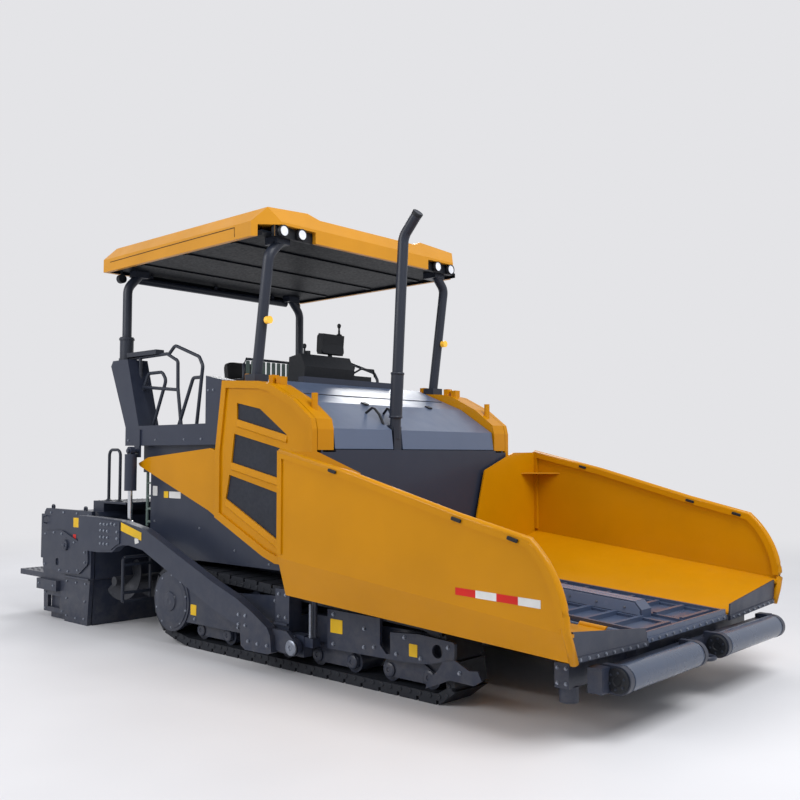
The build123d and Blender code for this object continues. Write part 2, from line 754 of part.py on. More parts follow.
def side_frame():
    """Fixed yellow side: tail panel and the beam along the top of the door."""
    front = DOOR_HINGE_X - DOOR_EDGE_GAP
    tail = side_plate(
        [*TAIL_REAR, (front, TAIL_FRONT_TOP), (front, TAIL_FRONT_LOW), *TAIL_UNDERSIDE],
        BODY_HALF_WIDTH,
        DOOR_OUTER_Y,
    )
    beam = side_plate([*PANEL_TOP, *BEAM_UNDERSIDE], BEAM_INNER_Y, DOOR_INNER_Y - 6)
    stub = rod((815, 1120, line_z(815, PANEL_TOP[3], PANEL_TOP[4]) - 30), (815, 1120, 2150), 26)
    lugs = [block(x0, x1, *ROOF_LUG_Y, z0, z1) for x0, x1, z0, z1 in ROOF_LUGS]
    lugs.append(rod(*ROOF_LUG_PIN, ROOF_LUG_PIN_RADIUS))
    knuckles = [tail]
    for z in DOOR_HINGE_ZS:
        low = (DOOR_HINGE_X, DOOR_HINGE_Y, z - DOOR_KNUCKLE_LENGTH)
        high = (DOOR_HINGE_X, DOOR_HINGE_Y, z + DOOR_KNUCKLE_LENGTH)
        knuckles.append(rod(low, (DOOR_HINGE_X, DOOR_HINGE_Y, z), DOOR_KNUCKLE_RADIUS))
        knuckles.append(rod(low, high, DOOR_PIN_RADIUS))
        knuckles.append(block(front - 5, DOOR_HINGE_X, DOOR_OUTER_Y - 5, DOOR_HINGE_Y, low[2], z))
    return group([join(knuckles), join([beam, stub, *lugs])])


def side_door():
    """Outer door with three window openings."""
    rear = DOOR_HINGE_X + DOOR_EDGE_GAP
    outline = [*PANEL_TOP, (955, 800), (521, 805), (365, 854), (rear, 1136), (rear, 1700)]
    panel = side_plate(outline, DOOR_INNER_Y, DOOR_OUTER_Y)
    face = Face(Wire.make_polygon([Vector(x, DOOR_OUTER_Y - 1, z) for x, z in outline]))
    border = face - offset(face, -DOOR_BORDER_WIDTH)
    panel = join([panel, extrude(border, DOOR_BORDER_PROUD + 1, dir=(0, 1, 0))])
    for corners in WINDOWS:
        panel -= side_plate(corners, DOOR_INNER_Y - 1, DOOR_OUTER_Y + DOOR_BORDER_PROUD + 1)
    for z in DOOR_HINGE_ZS:
        low, high = z + SEAT_SLACK, z + DOOR_KNUCKLE_LENGTH
        knuckle = rod(
            (DOOR_HINGE_X, DOOR_HINGE_Y, low),
            (DOOR_HINGE_X, DOOR_HINGE_Y, high),
            DOOR_KNUCKLE_RADIUS,
        )
        strap = block(DOOR_HINGE_X, rear + 5, DOOR_OUTER_Y - 5, DOOR_HINGE_Y, low, high)
        bore = rod(
            (DOOR_HINGE_X, DOOR_HINGE_Y, z),
            (DOOR_HINGE_X, DOOR_HINGE_Y, high + 1),
            DOOR_PIN_RADIUS + PIN_SLACK,
        )
        panel = join([panel, knuckle, strap]) - bore
    return panel


def side_grille():
    """Mesh panels in the door's windows."""
    return group([side_plate(corners, DOOR_INNER_Y, DOOR_OUTER_Y - 14) for corners in WINDOWS])


# ================================================================ hood and exhaust
HOOD_TOP = ((15.0, 2310.0), (565.0, 2100.0), (935.0, 1870.0), (955.0, 1710.0))


HOOD_LOW = 1710.0
HOOD_HOLLOW = ((35.0, 2280.0), (555.0, 2080.0), (915.0, 1855.0), (930.0, 1700.0), (35.0, 1700.0))
HOOD_NOTCH = (870.0, 960.0, 1700.0, 1960.0)    # x from, x to, z from, z to
HOOD_NOTCH_HALF_WIDTH = 60.0
EXHAUST_FOOT_X = (880.0, 950.0)
EXHAUST_FOOT_HALF_WIDTH = 45.0
EXHAUST_FOOT_TOP = 1900.0
EXHAUST_BASE = (915.0, EXHAUST_Y, 1800.0)
EXHAUST_ELBOW = (1014.0, EXHAUST_Y, 3505.0)
EXHAUST_TIP = (1180.0, EXHAUST_Y, 3685.0)
EXHAUST_BEND = 150.0
EXHAUST_SLEEVE = (0.1, 0.32)   # shares of the straight pipe that the sleeve covers


def hood():
    """Engine hood, hollow below, with a notch in front for the exhaust."""
    outer = side_plate([*HOOD_TOP, (HOOD_REAR_X, HOOD_LOW)], -HOOD_HALF_WIDTH, HOOD_HALF_WIDTH)
    inner = side_plate(HOOD_HOLLOW, -HOOD_HALF_WIDTH + PLATE, HOOD_HALF_WIDTH - PLATE)
    notch = box_between(HOOD_NOTCH, EXHAUST_Y - HOOD_NOTCH_HALF_WIDTH, EXHAUST_Y + HOOD_NOTCH_HALF_WIDTH)
    return outer - inner - notch


def exhaust():
    """Stack on its foot, leaning forward, with a turned tip."""
    inner_y, outer_y = EXHAUST_Y - EXHAUST_FOOT_HALF_WIDTH, EXHAUST_Y + EXHAUST_FOOT_HALF_WIDTH
    foot = block(*EXHAUST_FOOT_X, inner_y, outer_y, REAR_WALL_TOP + REAR_WALL_LIP, EXHAUST_FOOT_TOP)
    pipe = tube([EXHAUST_BASE, EXHAUST_ELBOW, EXHAUST_TIP], EXHAUST_BEND, EXHAUST_RADIUS)
    base, along = Vector(*EXHAUST_BASE), Vector(*EXHAUST_ELBOW) - Vector(*EXHAUST_BASE)
    start, end = (base + along * share for share in EXHAUST_SLEEVE)
    return join([foot, pipe, rod(tuple(start), tuple(end), EXHAUST_SLEEVE_RADIUS)])


# ================================================================ hopper
def hinge_point(x):
    """Point of the left wing's hinge axis at x."""
    return Vector(x, WING_HINGE_Y, deck_z(x))


def hinge_length(x0, x1, radius):
    """Left hinge cylinder from x0 to x1."""
    start, end = hinge_point(x0), hinge_point(x1)
    return rod(tuple(start), tuple(end), radius)


def tilted(shape):
    """The shape tilted to the deck's slope about the deck's surface at the folding cylinder."""
    centre = (FOLD_X, 0, deck_z(FOLD_X))
    return Pos(*centre) * Rot(0, DECK_SLOPE, 0) * Pos(-centre[0], 0, -centre[2]) * shape


FIXED_KNUCKLES = ((1010, 1200), (1700, 1900), (2400, 2600), (3100, 3300))
WING_KNUCKLES = ((1210, 1400), (1910, 2110), (2890, 3090))


def conveyor_deck():
    """Conveyor floor with the wing hinge bars and the front nose plate."""
    rear_x = FRAME_REAR_X
    plate = side_plate(
        [
            (rear_x, deck_z(rear_x)),
            (DECK_FRONT_X, DECK_FRONT_Z),
            (DECK_FRONT_X, under_deck_z(DECK_FRONT_X)),
            (rear_x, under_deck_z(rear_x)),
        ],
        -TUNNEL_HALF_WIDTH,
        TUNNEL_HALF_WIDTH,
    )
    for sign in (1, -1):
        for x0, x1 in WING_KNUCKLES:
            plate -= on_side(hinge_length(x0 - 8, x1 + 8, WING_KNUCKLE_RADIUS + 6), sign)
    shapes = [plate]
    for sign in (1, -1):
        for x0, x1 in FIXED_KNUCKLES:
            knuckle = hinge_length(x0, x1, WING_KNUCKLE_RADIUS)
            shapes.append(on_side(knuckle, sign))
        shapes.append(on_side(hinge_length(1010, 3300, WING_HINGE_BAR), sign))
        for x0, x1 in FIXED_KNUCKLES:
            web = side_plate(
                [(x0, deck_z(x0)), (x1, deck_z(x1)), (x1, under_deck_z(x1)), (x0, under_deck_z(x0))],
                TUNNEL_HALF_WIDTH - 5,
                WING_HINGE_Y,
            )
            shapes.append(on_side(web, sign))
    half = TUNNEL_HALF_WIDTH
    nose_low, nose_high = 470, 540
    nose_x = DECK_FRONT_X + PLATE
    shapes.append(block(DECK_FRONT_X, nose_x, -half, half, nose_low, nose_high))
    shapes.append(block(nose_x, nose_x + STRIP_SHEET, -half, half, nose_low, nose_low + STRIP_HEIGHT))
    # covers over the outer chains
    for sign in (1, -1):
        cover = deck_strip(
            WING_REAR_X,
            DECK_FRONT_X,
            CHAIN_COVER_Y,
            CHAIN_COVER_OUTER_Y,
            CHAIN_COVER_HEIGHT,
        )
        shapes.append(on_side(cover, sign))
    return join(shapes)


def deck_strip(x0, x1, y0, y1, height):
    """Strip lying on the sloping deck."""
    outline = [(x0, deck_z(x0)), (x1, deck_z(x1)), (x1, deck_z(x1) + height), (x0, deck_z(x0) + height)]
    return side_plate(outline, y0, y1)


# middle guard between the chains
GUARD_REAR_X = 1010.0
GUARD_NOSE_X = 3050.0
GUARD_NOSE_LENGTH = 50.0
GUARD_NOSE_HEIGHT = 60.0
GUARD_HEIGHT = 110.0
GUARD_HALF_WIDTH = 70.0
BAR_FIRST_X = FRAME_REAR_X + 100.0
BAR_LAST_X = 3250.0


def conveyor_chains():
    """Two scraper runs, with bars, on either side of the middle guard."""
    shapes = []
    shoulder_x = GUARD_NOSE_X - GUARD_NOSE_LENGTH
    guard = side_plate(
        [
            (GUARD_REAR_X, deck_z(GUARD_REAR_X)),
            (GUARD_NOSE_X, deck_z(GUARD_NOSE_X)),
            (GUARD_NOSE_X, deck_z(GUARD_NOSE_X) + GUARD_NOSE_HEIGHT),
            (shoulder_x, deck_z(shoulder_x) + GUARD_HEIGHT),
            (GUARD_REAR_X, deck_z(GUARD_REAR_X) + GUARD_HEIGHT),
        ],
        -GUARD_HALF_WIDTH,
        GUARD_HALF_WIDTH,
    )
    shapes.append(guard)
    first_x, last_x = BAR_FIRST_X, BAR_LAST_X
    for sign in (1, -1):
        run = []
        for y in (CHAIN_INNER_Y, CHAIN_OUTER_Y):
            inner_y, outer_y = y - CHAIN_WIDTH / 2, y + CHAIN_WIDTH / 2
            run.append(deck_strip(first_x, last_x + BAR_WIDTH, inner_y, outer_y, CHAIN_HEIGHT))
        for index in range(BAR_COUNT):
            x = first_x + index * (last_x - first_x) / (BAR_COUNT - 1)
            run.append(deck_strip(x, x + BAR_WIDTH, CHAIN_INNER_Y, CHAIN_OUTER_Y, BAR_HEIGHT))
        shapes.append(on_side(join(run), sign))
    return group(shapes)


def hopper_rear_wall():
    """Wall behind the hopper with the conveyor tunnel's mouth."""
    low = deck_z(BODY_WALL_X) + 5
    wall = block(
        BODY_WALL_X,
        BODY_WALL_X + REAR_WALL_THICKNESS,
        -REAR_WALL_HALF_WIDTH,
        REAR_WALL_HALF_WIDTH,
        BODY_LOW,
        REAR_WALL_TOP,
    )
    lip = block(
        BODY_WALL_X - 60,
        BODY_WALL_X + REAR_WALL_THICKNESS,
        -REAR_WALL_HALF_WIDTH + 160,
        REAR_WALL_HALF_WIDTH - 160,
        REAR_WALL_TOP,
        REAR_WALL_TOP + REAR_WALL_LIP,
    )
    mouth = block(
        BODY_WALL_X - 1,
        BODY_WALL_X + REAR_WALL_THICKNESS + 1,
        -TUNNEL_HALF_WIDTH,
        TUNNEL_HALF_WIDTH,
        low - 50,
        1080,
    )
    return join([wall, lip]) - mouth


# wing stations: x, y and z of the crease, y and z of the lower edge
WING_STATIONS = (
    (WING_REAR_X, 1650.0, 921.0, 1570.0, 643.0),
    (WING_FRONT_X, 1599.0, 663.0, 1499.0, 484.0),
)
# side view of the wing: x, z of the nose and of the top edge, from the front
WING_NOSE = ((3370.0, 400.0), (3395.0, 665.0))
WING_NOSE_ARC = (3325.0, 960.0)
WING_TOP = ((3165.0, 1170.0), (2648.0, 1290.0), (1768.0, 1522.0), (WING_REAR_X, 1692.0))
WING_TOP_LIMIT = 1800.0     # stations reach above the top edge


def wing_profile(y):
    """Side view of the wing as a face at y: straight lower nose, round upper nose."""
    nose = [Vector(x, y, z) for x, z in WING_NOSE]
    top = [Vector(x, y, z) for x, z in WING_TOP]
    rear_low = Vector(WING_REAR_X, y, WING_NOSE[0][1])
    edges = [
        Edge.make_line(rear_low, nose[0]),
        Edge.make_line(nose[0], nose[1]),
        Edge.make_three_point_arc(nose[1], Vector(WING_NOSE_ARC[0], y, WING_NOSE_ARC[1]), top[0]),
        *[Edge.make_line(a, b) for a, b in zip(top, top[1:])],
        Edge.make_line(top[-1], rear_low),
    ]
    return Face(Wire(edges))


def wing_floor_z(x, y):
    """Top of the wing's sloping floor sheet."""
    rear, front = WING_STATIONS
    share = (x - rear[0]) / (front[0] - rear[0])
    crease_y = rear[1] + (front[1] - rear[1]) * share - WING_SHEET
    crease_z = rear[2] + (front[2] - rear[2]) * share + 4
    edge_y, edge_z = WING_HINGE_Y + WING_FLOOR_GAP, deck_z(x) + 8
    return edge_z + (crease_z - edge_z) * (y - edge_y) / (crease_y - edge_y)


def rim_section(x, crease_y, crease_z):
    """Section of the thick rim at x, from a little above the crease to the top."""
    inner, outer = crease_y - WING_RIM_DEPTH, crease_y + WING_RIM_PROUD
    points = [
        (outer, WING_TOP_LIMIT),
        (outer, crease_z + 30),
        (inner, crease_z + 30),
        (inner, WING_TOP_LIMIT),
    ]
    return Face(Wire.make_polygon([Vector(x, y, z) for y, z in points]))


def wing_section(x, crease_y, crease_z, low_y, low_z):
    """Closed section of the wing's sheet at x: side, bevel and floor."""
    t = WING_SHEET
    edge_y = WING_HINGE_Y + WING_FLOOR_GAP
    edge_z = deck_z(x) + 8
    points = [
        (crease_y, WING_TOP_LIMIT),
        (crease_y, crease_z),
        (low_y, low_z),
        (low_y - t, low_z),
        (crease_y - t - 6, crease_z - 16),
        (edge_y, edge_z - t),
        (edge_y, edge_z),
        (crease_y - t, crease_z + 4),
        (crease_y - t, WING_TOP_LIMIT),
    ]
    return Face(Wire.make_polygon([Vector(x, y, z) for y, z in points]))


def hopper_wing():
    """Folding hopper side: outer wall, bevel, floor, rear plate and hinge sleeves."""
    skin = Solid.make_loft([wing_section(*station).outer_wire() for station in WING_STATIONS], ruled=True)
    low_y, high_y = 500, 1700
    profile = wing_profile(low_y)
    skin = skin & extrude(profile, high_y - low_y, dir=(0, 1, 0))
    band = extrude(profile - offset(profile, -WING_RIM_WIDTH), high_y - low_y, dir=(0, 1, 0))
    rim = Solid.make_loft(
        [rim_section(*station[:3]).outer_wire() for station in WING_STATIONS],
        ruled=True,
    ) & band
    front_trim = block(DECK_FRONT_X + PLATE + PASS_GAP, WING_FRONT_X + 100, low_y, 1504, 400, 800)
    skin = skin - front_trim
    _, crease_y, crease_z, _, _ = WING_STATIONS[0]
    plate_low = [(y, wing_floor_z(WING_REAR_X, y) - 7) for y in (690.0, crease_y - 20)]
    rear_plate = cross_plate(
        [
            plate_low[0],
            (690, 1100),
            (816, 1520),
            (1270, 1684),
            (crease_y - 2, 1688),
            (crease_y - 2, crease_z),
            plate_low[1],
        ],
        WING_REAR_X,
        WING_REAR_X + WING_SHEET,
    )
    shelf_inner = crease_y - WING_SHEET
    shelf = extrude(
        Face(
            Wire.make_polygon(
                [
                    Vector(WING_REAR_X + WELD, shelf_inner - 250, WING_SHELF_Z),
                    Vector(WING_REAR_X + WELD, shelf_inner + WELD, WING_SHELF_Z),
                    Vector(WING_REAR_X + 300, shelf_inner - 2, WING_SHELF_Z),
                ]
            )
        ),
        WING_SHEET,
        dir=(0, 0, 1),
    )
    shapes = [skin, rim, rear_plate, shelf]
    for x0, x1 in WING_KNUCKLES:
        sleeve = hinge_length(x0, x1, WING_KNUCKLE_RADIUS)
        arm = side_plate(
            [(x0, deck_z(x0) + 8), (x1, deck_z(x1) + 8), (x1, deck_z(x1) - 10), (x0, deck_z(x0) - 10)],
            WING_HINGE_Y,
            WING_HINGE_Y + WING_FLOOR_GAP + 30,
        )
        shapes += [sleeve, arm]
    # lug of the folding cylinder under the floor
    floor_z = deck_z(FOLD_X) + 30
    lug = block(FOLD_X + 27, FOLD_X + 47, FOLD_EYE_Y - 30, FOLD_EYE_Y + 30, FOLD_EYE_Z - 30, floor_z)
    eye_pin = rod(
        (FOLD_X - 25, FOLD_EYE_Y, FOLD_EYE_Z),
        (FOLD_X + 47, FOLD_EYE_Y, FOLD_EYE_Z),
        FOLD_PIN_RADIUS,
    )
    wing = join(shapes)
    for x0, x1 in WING_KNUCKLES:
        wing -= hinge_length(x0 - 5, x1 + 5, WING_HINGE_BAR + PIN_SLACK)
    return join([wing, tilted(join([lug, eye_pin]))])


# flap hanging at the wing's front: y, z of its corners and of its bolted strip
FLAP_OUTLINE = ((624.0, 456.0), (1478.0, 485.0), (1502.0, 664.0), (647.0, 572.0))
FLAP_STRIP_INNER = (626.0, 458.0)
FLAP_STRIP_OUTER = (1474.0, 487.0)


def wing_flap():
    """Front apron of one wing, with the bolted strip along its lower edge."""
    rear = DECK_FRONT_X + PLATE + PASS_GAP
    flap = cross_plate(FLAP_OUTLINE, rear, rear + FLAP_SHEET)
    strip = cross_plate(
        [
            FLAP_STRIP_INNER,
            FLAP_STRIP_OUTER,
            (FLAP_STRIP_OUTER[0] + 2, FLAP_STRIP_OUTER[1] + STRIP_HEIGHT),
            (FLAP_STRIP_INNER[0], FLAP_STRIP_INNER[1] + STRIP_HEIGHT),
        ],
        rear + FLAP_SHEET - 1,
        rear + FLAP_SHEET + STRIP_SHEET,
    )
    return join([flap, strip])


# ================================================================ push rollers
def push_beam():
    """Beam on a vertical pin with ears for both rollers, end bumpers and the tow loop."""
    inner = PUSH_ROLLER_INNER_Y - PUSH_END_GAP - PUSH_BRACKET
    outer = PUSH_ROLLER_OUTER_Y + PUSH_END_GAP
    rear, front = PUSH_BEAM_REAR_X, PUSH_BEAM_FRONT_X
    shapes = [
        block(rear, front, -PUSH_BUMPER_Y, PUSH_BUMPER_Y, PUSH_BEAM_LOW, PUSH_BEAM_HIGH),
        block(PUSH_PIVOT_X - 17, rear + WELD, -35, 35, PUSH_AXIS_Z - 15, PUSH_AXIS_Z + 15),
    ]
    for sign in (1, -1):
        for y in (inner, outer):
            low, high = PUSH_AXIS_Z - PUSH_EAR_RADIUS, PUSH_AXIS_Z + PUSH_EAR_RADIUS
            arm = block(front - WELD, PUSH_AXIS_X, y, y + PUSH_BRACKET, low, high)
            disc = rod(
                (PUSH_AXIS_X, y, PUSH_AXIS_Z),
                (PUSH_AXIS_X, y + PUSH_BRACKET, PUSH_AXIS_Z),
                PUSH_EAR_RADIUS,
            )
            shapes += [on_side(arm, sign), on_side(disc, sign)]
        bumper = block(
            rear,
            PUSH_BUMPER_X,
            outer + PUSH_BRACKET - WELD,
            PUSH_BUMPER_Y,
            PUSH_BUMPER_LOW,
            PUSH_BUMPER_HIGH,
        )
        shapes.append(on_side(bumper, sign))
    loop_z = PUSH_AXIS_Z - 55
    loop = tube(
        [
            (front - WELD, -55, loop_z),
            (front + 140, -55, loop_z),
            (front + 140, 55, loop_z),
            (front - WELD, 55, loop_z),
        ],
        50,
        15,
    )
    body = join([*shapes, loop])
    reach = PUSH_BUMPER_Y + 1
    body -= rod(
        (PUSH_AXIS_X, -reach, PUSH_AXIS_Z),
        (PUSH_AXIS_X, reach, PUSH_AXIS_Z),
        PUSH_AXLE_RADIUS + PIN_SLACK,
    )
    hole = (PUSH_PIVOT_X, 0, PUSH_AXIS_Z - 40), (PUSH_PIVOT_X, 0, PUSH_AXIS_Z + 40)
    return body - rod(*hole, PUSH_PIVOT_RADIUS + PIN_SLACK)


def push_roller():
    """Roller with its axle."""
    inner = PUSH_ROLLER_INNER_Y - PUSH_END_GAP - PUSH_BRACKET
    outer = PUSH_ROLLER_OUTER_Y + PUSH_END_GAP + PUSH_BRACKET
    drum = rod(
        (PUSH_AXIS_X, PUSH_ROLLER_INNER_Y, PUSH_AXIS_Z),
        (PUSH_AXIS_X, PUSH_ROLLER_OUTER_Y, PUSH_AXIS_Z),
        PUSH_ROLLER_RADIUS,
    )
    axle = rod((PUSH_AXIS_X, inner, PUSH_AXIS_Z), (PUSH_AXIS_X, outer, PUSH_AXIS_Z), PUSH_AXLE_RADIUS)
    return join([drum, axle])


# ================================================================ platform
LIFT_BRACKET_HALF_WIDTH = 45.0
LIFT_BRACKET_PLATE = 14.0
LIFT_BRACKET_DROP = 60.0
LIFT_BRACKET_TOP = BODY_TOP_Z + 150.0
LIFT_PIN_REACH = 40.0
COLUMN_LEAN_LOW = 90.0
COLUMN_LEAN_TOP = 8.0
COLUMN_FRONT_TOP = 2300.0
COLUMN_REAR_TOP = 2350.0
# leaning rear corner panel: x, z of its upper points; its foot's length and its width
CORNER_TOP = ((-1700.0, 2580.0), (-1960.0, 2580.0), (-1995.0, 2530.0))
CORNER_FOOT = 230.0
CORNER_WIDTH = 220.0
COAMING_DEPTH = 40.0
COAMING_Y = (-520.0, 620.0)
COAMING_TOP = 2365.0


def lift_bracket():
    """Upper bracket and pin of the screed's lifting cylinder."""
    y = PLATFORM_HALF_WIDTH
    plate = block(
        LIFT_TOP_X - LIFT_BRACKET_HALF_WIDTH,
        LIFT_TOP_X + LIFT_BRACKET_HALF_WIDTH,
        y - WELD,
        y + LIFT_BRACKET_PLATE,
        LIFT_TOP_Z - LIFT_BRACKET_DROP,
        LIFT_BRACKET_TOP,
    )
    pin = rod(
        (LIFT_TOP_X, y + LIFT_BRACKET_PLATE - 2, LIFT_TOP_Z),
        (LIFT_TOP_X, LIFT_MID_Y + LIFT_PIN_REACH, LIFT_TOP_Z),
        LIFT_PIN_RADIUS,
    )
    return join([plate, pin])


def platform():
    """Operator floor with side boxes, columns, dash wall and rear corner panels."""
    y = PLATFORM_HALF_WIDTH
    base = side_plate(
        [
            (PLATFORM_REAR_X, BODY_TOP_Z),
            (COLUMN_REAR_X, BODY_TOP_Z),
            (COLUMN_REAR_X, PLATFORM_TOP),
            (PLATFORM_REAR_X, PLATFORM_TOP),
        ],
        -y,
        y,
    )
    floor = block(
        COLUMN_REAR_X - 5,
        FLOOR_FRONT_X,
        -BEAM_INNER_Y,
        BEAM_INNER_Y,
        PLATFORM_TOP - PLATE,
        PLATFORM_TOP,
    )
    wall = block(FLOOR_FRONT_X - 5, HOOD_REAR_X, -HOOD_HALF_WIDTH, HOOD_HALF_WIDTH, BODY_TOP_Z, COLUMN_TOP)
    shapes = [base, floor, wall]
    for sign in (1, -1):
        column = side_plate(
            [
                (COLUMN_REAR_X - 5, BODY_TOP_Z),
                (COLUMN_FRONT_X - COLUMN_LEAN_LOW, BODY_TOP_Z),
                (COLUMN_FRONT_X - COLUMN_LEAN_TOP, COLUMN_FRONT_TOP),
                (COLUMN_REAR_X - 5, COLUMN_REAR_TOP),
            ],
            y - COLUMN_WIDTH,
            y,
        )
        corner = side_plate(
            [
                (PLATFORM_REAR_X, PLATFORM_TOP - 10),
                (PLATFORM_REAR_X + CORNER_FOOT, PLATFORM_TOP - 10),
                *CORNER_TOP,
            ],
            y - CORNER_WIDTH,
            y,
        )
        shapes += [on_side(column, sign), on_side(corner, sign), on_side(lift_bracket(), sign)]
    # dark coaming along the rear edge of the engine hood
    coaming_rear = FLOOR_FRONT_X - COAMING_DEPTH
    shapes.append(block(coaming_rear, HOOD_REAR_X, *COAMING_Y, COLUMN_TOP - WELD, COAMING_TOP))
    return join(shapes)


# seats: y, whether the back stands up
SEATS = ((-30.0, True), (760.0, False))
SEAT_REAR_X = -1440.0
SEAT_FRONT_X = -1040.0
SEAT_HALF_WIDTH = 240.0
SEAT_PAN_LOW = 2145.0
SEAT_PAN_HIGH = 2250.0
SEAT_SINK = 5.0                # welded overlap of pedestal and pan
PEDESTAL_INSET = 100.0
PEDESTAL_HALF_WIDTH = 110.0
# seat backs: half width, then x, z of the side view
UPRIGHT_BACK = (250.0, ((-1440, 2240), (-1350, 2240), (-1400, 2620), (-1460, 2620)))
FOLDED_BACK = (230.0, ((-1460, 2245), (-1400, 2245), (-1090, 2290), (-1090, 2360), (-1440, 2350)))
# armrest of a seat: from its middle outwards, and its heights
ARM_REST_Y = 290.0
ARM_REST_REAR_X = -1400.0
ARM_REST_FRONT_X = -1060.0
ARM_REST_HALF_WIDTH = 35.0
ARM_REST_LOW = 2380.0
ARM_REST_HIGH = 2425.0
ARM_STALK_REAR_X = -1380.0
ARM_STALK_FRONT_X = -1330.0
ARM_STALK_HALF_WIDTH = 15.0
ARM_STALK_LOW = 2200.0
ARM_ROOT_Y = 230.0
ARM_ROOT_LOW = 2190.0
ARM_ROOT_HIGH = 2225.0


def seats():
    """Two operator seats: one upright, one with its back folded down."""
    both = []
    for y, upright in SEATS:
        half_width, outline = UPRIGHT_BACK if upright else FOLDED_BACK
        pedestal = block(
            SEAT_REAR_X + PEDESTAL_INSET,
            SEAT_FRONT_X - PEDESTAL_INSET,
            y - PEDESTAL_HALF_WIDTH,
            y + PEDESTAL_HALF_WIDTH,
            PLATFORM_TOP,
            SEAT_PAN_LOW + SEAT_SINK,
        )
        pan = block(
            SEAT_REAR_X,
            SEAT_FRONT_X,
            y - SEAT_HALF_WIDTH,
            y + SEAT_HALF_WIDTH,
            SEAT_PAN_LOW,
            SEAT_PAN_HIGH,
        )
        shapes = [pedestal, pan, side_plate(outline, y - half_width, y + half_width)]
        for side in (1, -1):
            arm_y, root_y = y + side * ARM_REST_Y, y + side * ARM_ROOT_Y
            rest_low, rest_high = arm_y - ARM_REST_HALF_WIDTH, arm_y + ARM_REST_HALF_WIDTH
            stalk_low, stalk_high = arm_y - ARM_STALK_HALF_WIDTH, arm_y + ARM_STALK_HALF_WIDTH
            root_low, root_high = min(arm_y, root_y), max(arm_y, root_y)
            rear, front = ARM_STALK_REAR_X, ARM_STALK_FRONT_X
            rest = block(
                ARM_REST_REAR_X,
                ARM_REST_FRONT_X,
                rest_low,
                rest_high,
                ARM_REST_LOW,
                ARM_REST_HIGH,
            )
            stalk = block(rear, front, stalk_low, stalk_high, ARM_STALK_LOW, ARM_REST_LOW + SEAT_SINK)
            root = block(rear, front, root_low, root_high, ARM_ROOT_LOW, ARM_ROOT_HIGH)
            shapes += [rest, stalk, root]
        both.append(join(shapes))
    return group(both)


# side views on the console: x, z
CONSOLE_BOX = ((-560, 2365), (-330, 2365), (-310, 2500), (-380, 2625), (-540, 2600))
DISPLAY_CASE = ((-500, 2655), (-440, 2650), (-420, 2850), (-480, 2858))
CONSOLE_REAR_X = -560.0
CONSOLE_FRONT_X = -330.0
CONSOLE_RIGHT_Y = -215.0
CONSOLE_LEFT_Y = 440.0
CONSOLE_COLUMN = (-480.0, -360.0, 40.0, 260.0)    # x from, x to, y from, y to
CONSOLE_COLUMN_TOP = 2380.0
TRAY_LEFT_Y = 700.0
TRAY_LOW = 2400.0
TRAY_HIGH = 2450.0
TRAY_LAP = 10.0
KNOB_X = -450.0
KNOB_Y = -60.0
KNOB_LOW = 2610.0
KNOB_HIGH = 2665.0
KNOB_RADIUS = 28.0
DISPLAY_STEM_X = -470.0
DISPLAY_STEM_Y = 255.0
DISPLAY_STEM_LOW = 2600.0
DISPLAY_STEM_HIGH = 2700.0
DISPLAY_STEM_RADIUS = 22.0
DISPLAY_RIGHT_Y = 110.0
DISPLAY_LEFT_Y = 405.0


def console():
    """Steering console on its column, with switch box and display."""
    column = block(*CONSOLE_COLUMN, PLATFORM_TOP, CONSOLE_COLUMN_TOP)
    box = side_plate(CONSOLE_BOX, CONSOLE_RIGHT_Y, CONSOLE_LEFT_Y)
    tray = block(
        CONSOLE_REAR_X,
        CONSOLE_FRONT_X,
        CONSOLE_LEFT_Y - TRAY_LAP,
        TRAY_LEFT_Y,
        TRAY_LOW,
        TRAY_HIGH,
    )
    knob = rod((KNOB_X, KNOB_Y, KNOB_LOW), (KNOB_X, KNOB_Y, KNOB_HIGH), KNOB_RADIUS)
    stem = rod(
        (DISPLAY_STEM_X, DISPLAY_STEM_Y, DISPLAY_STEM_LOW),
        (DISPLAY_STEM_X, DISPLAY_STEM_Y, DISPLAY_STEM_HIGH),
        DISPLAY_STEM_RADIUS,
    )
    display = side_plate(DISPLAY_CASE, DISPLAY_RIGHT_Y, DISPLAY_LEFT_Y)
    return join([column, box, tray, knob, stem, display])


# tubes of one side's guard: bend radius, then x, z of the corners
RAIL_RUNS = (
    (40, ((-1840, 2600), (-1213, 2607), (-1039, 2530), (-1033, 2279), (-975, PLATFORM_TOP))),
    (60, ((-1185, 2600), (-1085, 2676), (-708, 2545), (-652, 2460), (-735, PLATFORM_TOP))),
    (
        60,
        (
            (-1700, PLATFORM_TOP),
            (-1658, 2203),
            (-1520, 2440),
            (-1290, 2440),
            (-1224, 2363),
            (-1430, PLATFORM_TOP),
        ),
    ),
    (0, ((-1706, 2322), (-1033, 2262))),
    (0, ((-1666, 2600), (-1652, 2320))),
    (40, ((-1010, PLATFORM_TOP), (-796, 2358), (-671, 2358))),
)
RAIL_Y = 1130.0
# pad along the top of the rear rail
ARM_PAD_REAR_X = -1840.0
ARM_PAD_FRONT_X = -1335.0
ARM_PAD_HALF_WIDTH = 45.0
ARM_PAD_LOW = 2612.0
ARM_PAD_HIGH = 2655.0


